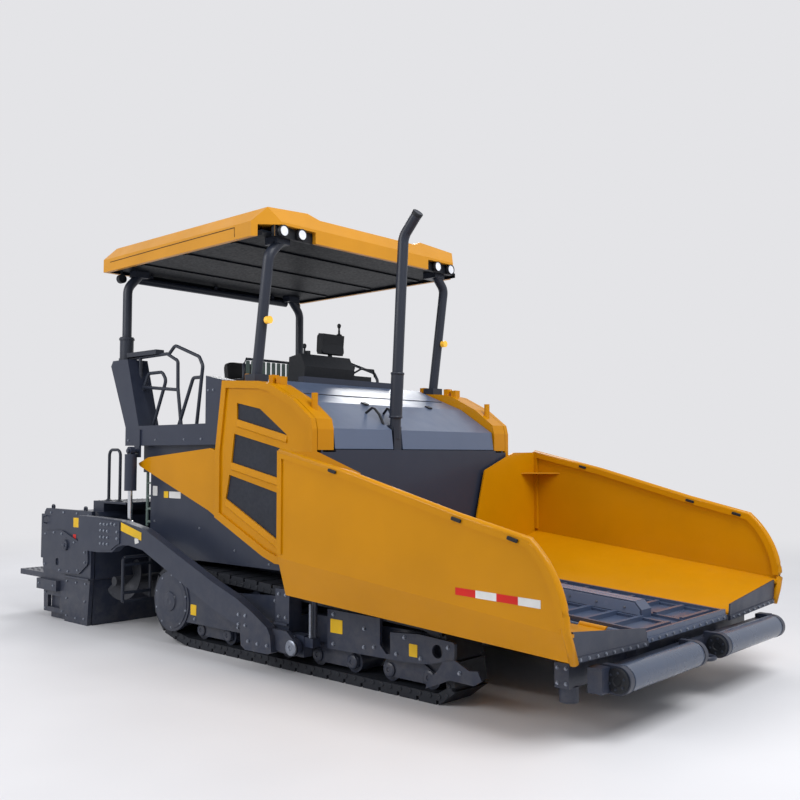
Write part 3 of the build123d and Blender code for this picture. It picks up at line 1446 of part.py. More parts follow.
def handrails():
    """Tubular guards around the operator places, with the arm pad."""
    runs = [tube([(x, RAIL_Y, z) for x, z in corners], bend) for bend, corners in RAIL_RUNS]
    pad_low, pad_high = RAIL_Y - ARM_PAD_HALF_WIDTH, RAIL_Y + ARM_PAD_HALF_WIDTH
    pad = block(ARM_PAD_REAR_X, ARM_PAD_FRONT_X, pad_low, pad_high, ARM_PAD_LOW, ARM_PAD_HIGH)
    below_floor = block(PLATFORM_REAR_X - 300, COLUMN_REAR_X, 0, PLATFORM_HALF_WIDTH, 0, PLATFORM_TOP)
    side = join([*runs, pad]) - below_floor
    return group([on_side(side, sign) for sign in (1, -1)]) - platform()


# ================================================================ canopy
# left half of the roof's section: y, z from the side's lower edge to the middle
ROOF_SECTION = (
    (ROOF_HALF_WIDTH, ROOF_LOW),
    (ROOF_HALF_WIDTH, 3590.0),
    (1200.0, 3710.0),
    (740.0, 3745.0),
    (620.0, 3700.0),
)
# slopes at the roof's ends: length, height of the edge
ROOF_FRONT_SLOPE = (110.0, 3585.0)
ROOF_REAR_SLOPE = (100.0, 3600.0)
ROOF_LINING = 20.0


def canopy_roof():
    """Roof shell with raised corners, a hollow underside and recesses for the front lamps."""
    front, rear = ROOF_FRONT_X, ROOF_REAR_X
    y = ROOF_HALF_WIDTH
    across = cross_plate(
        [*ROOF_SECTION, *[(-u, z) for u, z in reversed(ROOF_SECTION)]],
        rear,
        front,
    )
    along = side_plate(
        [
            (rear, ROOF_LOW),
            (front, ROOF_LOW),
            (front, ROOF_FRONT_SLOPE[1]),
            (front - ROOF_FRONT_SLOPE[0], ROOF_CROWN_Z),
            (rear + ROOF_REAR_SLOPE[0], ROOF_CROWN_Z),
            (rear, ROOF_REAR_SLOPE[1]),
        ],
        -y,
        y,
    )
    inner = y - ROOF_SHELL
    hollow = block(rear + ROOF_SHELL, front - ROOF_SHELL, -inner, inner, ROOF_LOW - 1, POD_TOP)
    shell = (across & along) - hollow
    for sign in (1, -1):
        corner = [
            Vector(front - ROOF_CORNER, y + 1, 0),
            Vector(front + 1, y + 1, 0),
            Vector(front + 1, y - ROOF_CORNER, 0),
        ]
        chamfer = extrude(Face(Wire.make_polygon(corner)), 4000, dir=(0, 0, 1))
        shell -= on_side(chamfer, sign)
        recess = block(front - POD_DEPTH, front + 1, POD_INNER_Y, POD_OUTER_Y, ROOF_LOW - 1, POD_TOP)
        shell -= on_side(recess, sign)
    return shell


def canopy_lining():
    """Dark panel under the roof."""
    half = ROOF_HALF_WIDTH - ROOF_SHELL
    rear, front = ROOF_REAR_X + ROOF_SHELL, ROOF_FRONT_X - ROOF_SHELL
    panel = block(rear, front, -half, half, ROOF_LINING_Z, ROOF_LINING_Z + ROOF_LINING)
    for sign in (1, -1):
        pod_rear = ROOF_FRONT_X - POD_DEPTH
        corner = block(pod_rear, ROOF_FRONT_X, POD_INNER_Y, ROOF_HALF_WIDTH, ROOF_LINING_Z - 1, POD_TOP)
        panel -= on_side(corner, sign)
    return panel


FRONT_POST_BEND_Z = 3330.0
FRONT_POST_HEAD_Y = 1020.0
FRONT_POST_BEND = 120.0
REAR_POST_BEND_Z = 3310.0
REAR_POST_HEAD_Y = 1000.0
REAR_POST_BEND = 150.0
SLEEVE_TOP_Z = 2820.0
SLEEVE_RADIUS = 66.0
# head plates of the posts: x from, x to, y from, y to
REAR_HEAD = (-1970.0, -1860.0, 920.0, 1080.0)
FRONT_HEAD = (150.0, ROOF_FRONT_X - POD_DEPTH - 2, 950.0, 1090.0)
# foot block of a front post: x from, x to, y from, y to, height over the side panel
FRONT_FOOT = (50.0, 180.0, 1070.0, 1210.0, 60.0)
BLIND_HANGER_YS = (-800.0, 0.0, 800.0)
BLIND_HANGER_REACH = 10.0
BLIND_HANGER_HALF_WIDTH = 15.0


def front_post(radius):
    """Left front post, leaning forward and bent inwards under the roof."""
    foot_z = line_z(FRONT_POST_X, PANEL_TOP[0], PANEL_TOP[1]) + 30
    foot = (FRONT_POST_X, FRONT_POST_Y, foot_z)
    bend = (FRONT_POST_TOP_X, FRONT_POST_Y, FRONT_POST_BEND_Z)
    head = (FRONT_POST_TOP_X, FRONT_POST_HEAD_Y, POST_TOP_Z)
    return tube([foot, bend, head], FRONT_POST_BEND, radius)


def rear_post():
    """Left rear post with the sleeve at its foot."""
    foot = (REAR_POST_X, REAR_POST_Y, REAR_POST_FOOT_Z)
    bend = (REAR_POST_X, REAR_POST_Y, REAR_POST_BEND_Z)
    head = (REAR_POST_X, REAR_POST_HEAD_Y, POST_TOP_Z)
    sleeve = rod(foot, (REAR_POST_X, REAR_POST_Y, SLEEVE_TOP_Z), SLEEVE_RADIUS)
    return [tube([foot, bend, head], REAR_POST_BEND, POST_RADIUS), sleeve]


def canopy_posts():
    """Four posts, bent inwards at the roof, and the rolled blind at the rear."""
    shapes = []
    top = ROOF_LINING_Z
    rear_x, front_x, inner_y, outer_y, height = FRONT_FOOT
    for sign in (1, -1):
        rear, sleeve = rear_post()
        rear_head = block(*REAR_HEAD, POST_HEAD_Z, top)
        foot_top = line_z(FRONT_POST_X, PANEL_TOP[0], PANEL_TOP[1]) + height
        front_head = block(*FRONT_HEAD, POST_HEAD_Z, top)
        foot = side_plate(
            [
                (rear_x, line_z(rear_x, *PANEL_TOP[:2])),
                (front_x, line_z(front_x, *PANEL_TOP[:2])),
                (front_x, foot_top),
                (rear_x, foot_top),
            ],
            inner_y,
            outer_y,
        )
        shapes.append(on_side(join([rear, rear_head, sleeve]), sign))
        shapes.append(on_side(join([front_post(POST_RADIUS), front_head, foot]), sign))
    blind = rod((BLIND_X, -BLIND_HALF_WIDTH, BLIND_Z), (BLIND_X, BLIND_HALF_WIDTH, BLIND_Z), BLIND_RADIUS)
    rear_x, front_x = BLIND_X - BLIND_HANGER_REACH, BLIND_X + BLIND_HANGER_REACH
    hangers = [
        block(rear_x, front_x, y - BLIND_HANGER_HALF_WIDTH, y + BLIND_HANGER_HALF_WIDTH, BLIND_Z, top)
        for y in BLIND_HANGER_YS
    ]
    shapes.append(join([blind, *hangers]))
    return group(shapes)


POD_FACE_INSET = 45.0
POD_RISE = 5.0
LAMP_BARREL = 35.0
LAMP_LENS = 10.0
REAR_LAMP_STALK_RADIUS = 12.0
MARKER_X = 205.0
MARKER_Z = 2780.0
MARKER_SINK = 8.0
MARKER_REACH = 34.0
MARKER_RADIUS = 32.0


def lamp_housings():
    """Black pods in the roof's front recesses, and the rear lamps' cups on their stalks."""
    shapes = []
    gap = SEAT_SLACK
    rear, face = ROOF_FRONT_X - POD_DEPTH + gap, ROOF_FRONT_X - POD_FACE_INSET
    cup_rear, cup_front = ROOF_REAR_X + REAR_LAMP_CUP_X, ROOF_REAR_X + REAR_LAMP_CUP_END_X
    stalk_x, stalk_low = ROOF_REAR_X + REAR_LAMP_STALK_X, REAR_LAMP_Z + 40
    for sign in (1, -1):
        pod = block(rear, face, POD_INNER_Y + gap, POD_OUTER_Y - gap, ROOF_LOW + POD_RISE, POD_TOP - gap)
        for y in LAMP_YS:
            pod = pod.fuse(rod((face - WELD, y, LAMP_Z), (face + LAMP_BARREL, y, LAMP_Z), LAMP_RADIUS))
        shapes.append(on_side(pod, sign))
        cup = rod((cup_rear, REAR_LAMP_Y, REAR_LAMP_Z), (cup_front, REAR_LAMP_Y, REAR_LAMP_Z), LAMP_RADIUS)
        stalk = rod(
            (stalk_x, REAR_LAMP_Y, stalk_low),
            (stalk_x, REAR_LAMP_Y, ROOF_LINING_Z),
            REAR_LAMP_STALK_RADIUS,
        )
        shapes.append(on_side(join([cup, stalk]), sign))
    return group(shapes)


def roof_lamps():
    """Lenses of the round work lamps: four in front and two behind."""
    shapes = []
    face, radius = ROOF_FRONT_X - LAMP_LENS, LAMP_RADIUS - LAMP_LENS_INSET
    rear_face, rear_seat = ROOF_REAR_X + REAR_LAMP_LENS_X, ROOF_REAR_X + REAR_LAMP_CUP_X
    for sign in (1, -1):
        for y in LAMP_YS:
            shapes.append(on_side(rod((face, y, LAMP_Z), (face + LAMP_LENS, y, LAMP_Z), radius), sign))
        rear = rod((rear_face, REAR_LAMP_Y, REAR_LAMP_Z), (rear_seat, REAR_LAMP_Y, REAR_LAMP_Z), radius)
        shapes.append(on_side(rear, sign))
    return group(shapes)


def marker_lamps():
    """Amber marker lamps on the front posts."""
    inner, outer = MARKER_X + POST_RADIUS - MARKER_SINK, MARKER_X + POST_RADIUS + MARKER_REACH
    lamp = rod((inner, FRONT_POST_Y, MARKER_Z), (outer, FRONT_POST_Y, MARKER_Z), MARKER_RADIUS)
    return group([on_side(lamp, sign) for sign in (1, -1)]) - canopy_posts()


# ================================================================ rear access
def access_ladders():
    """Upright ladders on the rear face of the body."""
    y, radius = LADDER_Y, LADDER_RAIL_RADIUS
    rear, front = LADDER_NICHE_X - LADDER_DEPTH, LADDER_NICHE_X - radius
    rails = [tube([(x, y, LADDER_LOW), (x, y, LADDER_NICHE_TOP)], 0, radius) for x in (rear, front)]
    inner_y, outer_y = y - LADDER_STEP_HALF_WIDTH, y + LADDER_STEP_HALF_WIDTH
    steps = [
        block(rear, LADDER_NICHE_X, inner_y, outer_y, z, z + LADDER_STEP_HEIGHT)
        for z in LADDER_STEP_ZS
    ]
    side = join([*rails, *steps])
    return group([on_side(side, sign) for sign in (1, -1)])


STEP_FRAME_X = FRAME_REAR_X - 140.0
STEP_FRAME_INNER_Y = 1000.0
STEP_FRAME_OUTER_Y = 1295.0
STEP_FRAME_LOW = 285.0
STEP_FRAME_HIGH = 700.0
STEP_FRAME_TOP = 900.0
STEP_FRAME_BEND = 30.0
STEP_HANGER_BEND = 40.0
STEP_TUBE_RADIUS = 16.0
STEP_RUNG_ZS = (STEP_FRAME_LOW + 5, 370.0, 630.0)
STEP_RUNG_HALF_DEPTH = 22.0
STEP_RUNG_HALF_HEIGHT = 12.0


def step_frames():
    """Step frames hanging behind the tracks."""
    x, inner_y, outer_y = STEP_FRAME_X, STEP_FRAME_INNER_Y, STEP_FRAME_OUTER_Y
    low, high, top = STEP_FRAME_LOW, STEP_FRAME_HIGH, STEP_FRAME_TOP
    corners = [(x, outer_y, low), (x, outer_y, high), (x, inner_y, high), (x, inner_y, low)]
    frame = tube(corners, STEP_FRAME_BEND, STEP_TUBE_RADIUS)
    rear, front = x - STEP_RUNG_HALF_DEPTH, x + STEP_RUNG_HALF_DEPTH
    rungs = [
        block(rear, front, inner_y, outer_y, z - STEP_RUNG_HALF_HEIGHT, z + STEP_RUNG_HALF_HEIGHT)
        for z in STEP_RUNG_ZS
    ]
    corners = [(x, inner_y, high - 10), (x, inner_y, top), (FRAME_REAR_X, inner_y, top)]
    hanger = tube(corners, STEP_HANGER_BEND, STEP_TUBE_RADIUS)
    side = join([frame, *rungs, hanger])
    return group([on_side(side, sign) for sign in (1, -1)])


# ================================================================ tow gear
# side-view rectangles on the tow column: x from, x to, z from, z to
TOW_GUIDE = (660.0, 820.0, 160.0, 640.0)
TOW_BRACKET = (690.0, 800.0, TRACK_BEAM_LOW + 10, TRACK_BEAM_HIGH - 10)
TOW_SHELF = (665.0, 815.0, 372.0, 388.0)
TOW_LUG = (815.0, 990.0, 160.0, 320.0)
TOW_LOWER_BOX = (985.0, 1080.0, 240.0, 310.0)
TOW_LOWER_BOX_Y = (1290.0, 1370.0)
TOW_FACE_GAP = 25.0
TOW_LUG_INSET = 40.0
TOW_PIN_END = 15.0
LEVEL_ROD_X = 1055.0
LEVEL_ROD_Y = 1330.0
LEVEL_ROD_LOW = 300.0
LEVEL_ROD_HIGH = 640.0
LEVEL_ROD_RADIUS = 20.0


def tow_column():
    """Vertical tow guide outside the track, with the tow pin and the levelling rod."""
    face = ARM_INNER_Y - TOW_FACE_GAP
    guide = box_between(TOW_GUIDE, GUARD_Y, face)
    bracket = box_between(TOW_BRACKET, TRACK_MID_Y + TRACK_BEAM_WIDTH / 2, GUARD_Y + WELD)
    shelf = box_between(TOW_SHELF, face - WELD, ARM_INNER_Y - WELD)
    lug = box_between(TOW_LUG, GUARD_Y + TOW_LUG_INSET, face)
    pin = rod(
        (TOW_PIN_X, face - WELD, TOW_PIN_Z),
        (TOW_PIN_X, LINK_OUTER_Y + TOW_PIN_END, TOW_PIN_Z),
        TOW_PIN_RADIUS,
    )
    level_rod = rod(
        (LEVEL_ROD_X, LEVEL_ROD_Y, LEVEL_ROD_LOW),
        (LEVEL_ROD_X, LEVEL_ROD_Y, LEVEL_ROD_HIGH),
        LEVEL_ROD_RADIUS,
    )
    lower = box_between(TOW_LOWER_BOX, *TOW_LOWER_BOX_Y)
    return join([guide, bracket, shelf, lug, pin, level_rod, lower])


# side view of the tow arm: x, z
ARM_OUTLINE = (
    (SCREED_FRONT_X, 760),
    (-1785, 753),
    (-1535, 770),
    (-1440, 825),
    (-1355, 845),
    (-1250, 850),
    (-1030, 824),
    (-15, 432),
    (205, 362),
    (357, 329),
    (375, 183),
    (427, 157),
    (697, 159),
    (739, 178),
    (724, 300),
    (687, 356),
    (512, 449),
    (308, 539),
    (-5, 638),
    (-995, 1007),
    (-1025, 1012),
    (-1395, 1066),
    (-1775, 1078),
    (SCREED_FRONT_X, 1080),
)
# thinner link from the arm's foot to the pin: x, z
ARM_LINK = (
    (690.0, 195.0),
    (860.0, 180.0),
    (TOW_PIN_X, 180.0),
    (TOW_PIN_X, 290.0),
    (860.0, 345.0),
    (690.0, 345.0),
)
TOW_EYE_WALL = 27.0
# bolted plate at the arm's rear end: x, z
ARM_JOINT = ((-1755, 1062), (-1395, 1050), (-1395, 858), (-1450, 838), (-1545, 790), (-1755, 775))


def tow_arm():
    """Arm from the tow pin to the screed, with the lug of the lifting cylinder."""
    arm = side_plate(ARM_OUTLINE, ARM_INNER_Y, ARM_OUTER_Y)
    joint = side_plate(ARM_JOINT, ARM_OUTER_Y - 2, ARM_OUTER_Y + ARM_JOINT_PLATE)
    link = side_plate(ARM_LINK, ARM_INNER_Y, LINK_OUTER_Y)
    inner, outer = (TOW_PIN_X, ARM_INNER_Y, TOW_PIN_Z), (TOW_PIN_X, LINK_OUTER_Y, TOW_PIN_Z)
    eye = rod(inner, outer, TOW_PIN_RADIUS + TOW_EYE_WALL)
    start, end = (TOW_PIN_X, ARM_INNER_Y - 1, TOW_PIN_Z), (TOW_PIN_X, ARM_OUTER_Y + 1, TOW_PIN_Z)
    bore = rod(start, end, TOW_PIN_RADIUS + PIN_SLACK)
    pin = rod(
        (LIFT_TOP_X, LIFT_MID_Y - 30, LIFT_EYE_Z),
        (LIFT_TOP_X, ARM_INNER_Y + WELD, LIFT_EYE_Z),
        LIFT_PIN_RADIUS,
    )
    return join([arm, joint, link, eye, pin]) - bore


# ================================================================ screed
# main screed box: x, z of its side view, the sole set back in front
SCREED_PROFILE = (
    (SCREED_FRONT_X - 40, 0.0),
    (SCREED_FRONT_X - 40, 440.0),
    (SCREED_FRONT_X, 450.0),
    (SCREED_FRONT_X, 1060.0),
    (SCREED_FRONT_X - 50, SCREED_TOP),
    (SCREED_JOIN_X + 30, SCREED_TOP),
    (SCREED_JOIN_X, 1070.0),
    (SCREED_JOIN_X, 0.0),
)
ARM_FLANGE_DEPTH = 30.0
ARM_FLANGE_INNER_Y = 1200.0
ARM_FLANGE_LOW = 780.0
ARM_FLANGE_HIGH = 1050.0
SLIDE_GUIDE_LOWS = (520.0, 900.0)
SLIDE_GUIDE_HEIGHT = 80.0
STEP_PLATE = 20.0
STEP_BOX_SETBACK = 60.0


def screed_frame():
    """Main screed box with its sole, arm flanges, slide guides and walk-over steps."""
    half = SCREED_HALF_WIDTH
    shapes = [side_plate(SCREED_PROFILE, -half, half)]
    for sign in (1, -1):
        flange = block(
            SCREED_FRONT_X,
            SCREED_FRONT_X + ARM_FLANGE_DEPTH,
            ARM_FLANGE_INNER_Y,
            ARM_INNER_Y,
            ARM_FLANGE_LOW,
            ARM_FLANGE_HIGH,
        )
        shapes.append(on_side(flange, sign))
    guide_face = SCREED_JOIN_X - SCREED_SLIDE_GAP + SEAT_SLACK
    for low in SLIDE_GUIDE_LOWS:
        shapes.append(block(guide_face, SCREED_JOIN_X, -half, half, low, low + SLIDE_GUIDE_HEIGHT))
    # walk-over step on each side
    for sign in (1, -1):
        box_step = block(
            STEP_REAR_X,
            SCREED_FRONT_X - STEP_BOX_SETBACK,
            STEP_INNER_Y,
            STEP_OUTER_Y,
            SCREED_TOP - WELD,
            STEP_TOP - 5,
        )
        plate_low = STEP_TOP - STEP_PLATE
        plate = block(STEP_REAR_X, STEP_FRONT_X, STEP_INNER_Y, STEP_OUTER_Y, plate_low, STEP_TOP)
        shapes += [on_side(box_step, sign), on_side(plate, sign)]
    return join(shapes)


HOOP_REAR_X = -2250.0
HOOP_FRONT_X = -2045.0
HOOP_TOP = 1714.0
HOOP_YS = (1100.0, 480.0)
HOOP_BEND = 60.0
HOOP_RADIUS = 15.0


def screed_rails():
    """Guard hoops on the screed's walk-over steps."""
    rear, front, low, top = HOOP_REAR_X, HOOP_FRONT_X, STEP_TOP, HOOP_TOP
    shapes = []
    for sign in (1, -1):
        for y in HOOP_YS:
            corners = [(rear, y, low), (rear, y, top), (front, y, top), (front, y, low)]
            shapes.append(on_side(tube(corners, HOOP_BEND, HOOP_RADIUS), sign))
    return group(shapes)


# outlines on the screed's end gate: x, z
GATE_OUTLINE = (
    (SCREED_FRONT_X - 5, 455),
    (SCREED_FRONT_X - 5, 1112),
    (GATE_REAR_X + 40, 1112),
    (GATE_REAR_X, 1070),
    (GATE_REAR_X, 480),
    (-3085, 400),
    (-3070, 60),
    (-2640, 60),
    (-2640, 0),
    (-2200, 0),
    (-2160, 440),
)
COVER_OUTLINE = (
    (-3085, 500),
    (-3085, 880),
    (-2700, 900),
    (-2190, 760),
    (-2180, 600),
    (-2350, 490),
    (-2720, 470),
)
BOSS_X = -2614.0
BOSS_Z = 759.0
BOSS_RADIUS = 55.0
BOSS_PROUD = 14.0
COVER_PLATE = 16.0
COVER_CORNER = 55.0
# sliding screed box behind the main one: x, z of its side view
SLIDING_BACK = SCREED_JOIN_X - SCREED_SLIDE_GAP
SLIDING_PROFILE = (
    (SLIDING_BACK, 0.0),
    (SLIDING_BACK, 1080.0),
    (SCREED_REAR_X + 60, 1080.0),
    (SCREED_REAR_X, 1020.0),
    (SCREED_REAR_X, 500.0),
    (SCREED_REAR_X + 70, 460.0),
    (SCREED_REAR_X + 70, 0.0),
)
# openings and boxes on the end gate: x from, x to, z from, z to
GATE_WINDOW = (-2990.0, -2740.0, 110.0, 230.0)
COVER_SLOT = (-2815.0, -2750.0, 545.0, 615.0)
COVER_SLOT_CORNER = 20.0
GATE_LEDGE = (-2640.0, SCREED_FRONT_X - 8, 440.0, 458.0)
GATE_LEDGE_PROUD = 22.0
REAR_GUARD_BOX = (GATE_REAR_X - 60, GATE_REAR_X + WELD, 595.0, 1050.0)
REAR_GUARD_INNER_Y = 1180.0
LOWER_BOX = (-3150.0, -2740.0, 285.0, 390.0)
LOWER_BOX_PROUD = 45.0
WALKWAY_LAP = 75.0


def screed_extension():
    """Sliding screed half behind the main screed, with gate and walkway."""
    box_body = side_plate(SLIDING_PROFILE, EXTENSION_INNER_Y, GATE_INNER_Y)
    gate = side_plate(GATE_OUTLINE, GATE_INNER_Y, GATE_OUTER_Y)
    window = box_between(GATE_WINDOW, GATE_INNER_Y - 1, GATE_OUTER_Y + 1)
    cover_face = GATE_OUTER_Y + COVER_PLATE
    cover = soft_plate(COVER_OUTLINE, COVER_CORNER, GATE_OUTER_Y - 2, cover_face)
    x0, x1, z0, z1 = COVER_SLOT
    corners = ((x0, z0), (x1, z0), (x1, z1), (x0, z1))
    slot = soft_plate(corners, COVER_SLOT_CORNER, GATE_OUTER_Y, cover_face + 24)
    boss = rod((BOSS_X, GATE_OUTER_Y, BOSS_Z), (BOSS_X, cover_face + BOSS_PROUD, BOSS_Z), BOSS_RADIUS)
    ledge = box_between(GATE_LEDGE, GATE_OUTER_Y - 2, GATE_OUTER_Y + GATE_LEDGE_PROUD)
    rear_guard = box_between(REAR_GUARD_BOX, REAR_GUARD_INNER_Y, GATE_OUTER_Y)
    lower_box = box_between(LOWER_BOX, GATE_INNER_Y, GATE_OUTER_Y + LOWER_BOX_PROUD)
    walkway = block(
        WALKWAY_REAR_X,
        SCREED_REAR_X + WALKWAY_LAP,
        EXTENSION_INNER_Y,
        GATE_OUTER_Y,
        WALKWAY_TOP - WALKWAY_DEPTH,
        WALKWAY_TOP,
    )
    end = join([gate - window, cover - slot, boss, ledge, rear_guard, lower_box])
    return join([box_body, end, walkway])


# ================================================================ auger
def auger():
    """Shaft with a screw blade, for one side."""
    inner_y = AUGER_CASE_HALF + SEAT_SLACK
    shaft = rod((AUGER_X, inner_y, AUGER_Z), (AUGER_X, AUGER_OUTER_Y, AUGER_Z), AUGER_SHAFT_RADIUS)
    length = AUGER_OUTER_Y - inner_y - 60
    start = Vector(AUGER_X, inner_y + 30, AUGER_Z)
    reach = AUGER_RADIUS - AUGER_SHAFT_RADIUS + 10
    strip = Plane(start, x_dir=(1, 0, 0), z_dir=(0, 1, 0)) * (
        Pos(AUGER_SHAFT_RADIUS - 10 + reach / 2, 0) * Rectangle(reach, AUGER_BLADE * 2)
    )
    turns = 360.0 * length / AUGER_PITCH
    blade = Solid.extrude_linear_with_rotation(strip.face(), start, Vector(0, length, 0), turns)
    return join([shaft, blade])


def auger_support():
    """Drive case between the two screws, on an arm from the chassis."""
    half = AUGER_CASE_HALF
    case = block(AUGER_X - 90, AUGER_X + 90, -half, half, AUGER_Z - 90, TUNNEL_ROOF_Z)
    arm = block(AUGER_X, FRAME_REAR_X, -half, half, TUNNEL_ROOF_Z - 100, TUNNEL_ROOF_Z)
    head = block(
        FRAME_REAR_X - 120,
        FRAME_REAR_X,
        -TUNNEL_HALF_WIDTH - 60,
        TUNNEL_HALF_WIDTH + 60,
        TUNNEL_ROOF_Z - 80,
        TUNNEL_ROOF_Z,
    )
    return join([case, arm, head])


# ================================================================ cylinders
def cylinder_eye(centre, axis, radius, bore, width):
    """Eye ring of a cylinder end."""
    middle = Vector(*centre)
    half = Vector(*axis) * (width / 2)
    ring = rod(tuple(middle - half), tuple(middle + half), radius)
    return ring, rod(tuple(middle - half * 1.5), tuple(middle + half * 1.5), bore)


def lift_barrel():
    top = (LIFT_TOP_X, LIFT_MID_Y, LIFT_TOP_Z)
    ring, bore = cylinder_eye(top, (0, 1, 0), 40, LIFT_PIN_RADIUS + PIN_SLACK, 45)
    low = LIFT_TOP_Z - LIFT_BARREL_LENGTH
    body = rod((LIFT_TOP_X, LIFT_MID_Y, LIFT_TOP_Z - 30), (LIFT_TOP_X, LIFT_MID_Y, low), LIFT_BARREL_RADIUS)
    inside = rod((LIFT_TOP_X, LIFT_MID_Y, LIFT_TOP_Z - 60), (LIFT_TOP_X, LIFT_MID_Y, low - 1), 22.2)
    return join([ring, body]) - bore - inside


def lift_rod():
    eye = (LIFT_TOP_X, LIFT_MID_Y, LIFT_EYE_Z)
    bore_radius = LIFT_PIN_RADIUS + LIFT_EYE_SLACK
    ring, bore = cylinder_eye(eye, (0, 1, 0), bore_radius + 14, bore_radius, 40)
    shaft = rod(
        (LIFT_TOP_X, LIFT_MID_Y, LIFT_EYE_Z + bore_radius + 4),
        (LIFT_TOP_X, LIFT_MID_Y, LIFT_TOP_Z - LIFT_BARREL_LENGTH + 40),
        22,
    )
    return join([ring, shaft]) - bore


def fold_direction():
    """Unit vector from the base pin to the rod's eye, before the tilt."""
    return Vector(0, FOLD_EYE_Y - FOLD_BASE_Y, FOLD_EYE_Z - FOLD_BASE_Z).normalized()


def fold_barrel():
    base = Vector(FOLD_X, FOLD_BASE_Y, FOLD_BASE_Z)
    along = fold_direction()
    ring, bore = cylinder_eye(tuple(base), (1, 0, 0), 30, FOLD_PIN_RADIUS + PIN_SLACK, 40)
    tip = base + along * FOLD_BARREL_LENGTH
    body = rod(tuple(base + along * 22), tuple(tip), FOLD_BARREL_RADIUS)
    inside = rod(tuple(base + along * 34), tuple(tip + along), FOLD_ROD_RADIUS + 2 * PIN_SLACK)
    return tilted(join([ring, body]) - bore - inside)


def fold_rod():
    base = Vector(FOLD_X, FOLD_BASE_Y, FOLD_BASE_Z)
    eye = Vector(FOLD_X, FOLD_EYE_Y, FOLD_EYE_Z)
    along = fold_direction()
    bore_radius = FOLD_PIN_RADIUS + FOLD_EYE_SLACK
    ring, bore = cylinder_eye(tuple(eye), (1, 0, 0), bore_radius + 10, bore_radius, 36)
    shaft = rod(tuple(base + along * 38), tuple(eye - along * (bore_radius + 4)), FOLD_ROD_RADIUS)
    return tilted(join([ring, shaft]) - bore)


def all_nodes():
    """Each node's name and shape."""
    nodes = {}
    nodes["frame_crossbeams"] = frame_crossbeams()
    nodes["body_shell"] = body_shell()
    nodes["engine_block"] = engine_block()
    nodes["hood"] = hood()
    nodes["exhaust_stack"] = exhaust()
    nodes["hopper_rear_wall"] = hopper_rear_wall()
    nodes["conveyor_deck"] = conveyor_deck()
    nodes["conveyor_chains"] = conveyor_chains()
    nodes["platform"] = platform()
    nodes["seats"] = seats()
    nodes["control_console"] = console()
    nodes["handrails"] = handrails()
    nodes["canopy_roof"] = canopy_roof()
    nodes["canopy_lining"] = canopy_lining()
    nodes["canopy_posts"] = canopy_posts()
    nodes["roof_lamps"] = roof_lamps()
    nodes["lamp_housings"] = lamp_housings()
    nodes["marker_lamps"] = marker_lamps()
    nodes["access_ladders"] = access_ladders()
    nodes["step_frames"] = step_frames()
    nodes["auger_support"] = auger_support()
    nodes["push_beam"] = push_beam()
    nodes["screed_frame"] = screed_frame()
    nodes["screed_rails"] = screed_rails()
    for side, sign in SIDES:
        nodes[f"frame_side_{side}"] = on_side(frame_side(), sign)
        nodes[f"track_{side}"] = on_side(track_loop(), sign)
        nodes[f"track_frame_{side}"] = on_side(track_frame(), sign)
        nodes[f"side_frame_{side}"] = on_side(side_frame(), sign)
        nodes[f"side_door_{side}"] = on_side(side_door(), sign)
        nodes[f"side_grille_{side}"] = on_side(side_grille(), sign)
        nodes[f"hopper_wing_{side}"] = on_side(hopper_wing(), sign)
        nodes[f"wing_flap_{side}"] = on_side(wing_flap(), sign)
        nodes[f"push_roller_{side}"] = on_side(push_roller(), sign)
        nodes[f"tow_column_{side}"] = on_side(tow_column(), sign)
        nodes[f"tow_arm_{side}"] = on_side(tow_arm(), sign)
        nodes[f"screed_extension_{side}"] = on_side(screed_extension(), sign)
        nodes[f"auger_{side}"] = on_side(auger(), sign)
        nodes[f"lift_barrel_{side}"] = on_side(lift_barrel(), sign)
        nodes[f"lift_rod_{side}"] = on_side(lift_rod(), sign)
        nodes[f"fold_barrel_{side}"] = on_side(fold_barrel(), sign)
        nodes[f"fold_rod_{side}"] = on_side(fold_rod(), sign)
    return nodes


def main():
    os.makedirs("parts", exist_ok=True)
    for name, shape in all_nodes().items():
        export_step(shape, f"parts/{name}.step")


main()
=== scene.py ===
"""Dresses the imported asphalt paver: finishes, small fittings, light and camera.

Everything is in metres in the machine's own frame: +X is the direction of travel, +Y its left
side, +Z up, and the origin lies on the ground at the middle of its length and width.
"""

import json
import math

import bmesh
import bpy
from mathutils import Matrix, Vector
from mathutils.bvhtree import BVHTree

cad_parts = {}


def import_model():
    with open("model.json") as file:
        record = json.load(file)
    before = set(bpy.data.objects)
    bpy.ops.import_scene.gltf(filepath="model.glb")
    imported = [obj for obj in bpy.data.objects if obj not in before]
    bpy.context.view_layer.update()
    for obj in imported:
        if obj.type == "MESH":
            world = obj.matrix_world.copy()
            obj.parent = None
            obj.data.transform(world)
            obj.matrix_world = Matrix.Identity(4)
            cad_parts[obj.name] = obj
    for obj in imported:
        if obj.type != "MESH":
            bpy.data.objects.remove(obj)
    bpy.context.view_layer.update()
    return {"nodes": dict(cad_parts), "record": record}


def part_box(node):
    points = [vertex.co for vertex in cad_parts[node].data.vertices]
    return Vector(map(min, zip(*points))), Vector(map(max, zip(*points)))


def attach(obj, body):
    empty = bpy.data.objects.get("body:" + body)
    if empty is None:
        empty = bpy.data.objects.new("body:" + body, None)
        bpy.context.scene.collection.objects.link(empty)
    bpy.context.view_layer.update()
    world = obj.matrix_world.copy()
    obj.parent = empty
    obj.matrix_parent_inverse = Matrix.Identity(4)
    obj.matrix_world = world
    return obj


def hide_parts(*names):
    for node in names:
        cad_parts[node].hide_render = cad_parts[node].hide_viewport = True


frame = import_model()
NODES = frame["nodes"]
SIDES = (("left", 1), ("right", -1))


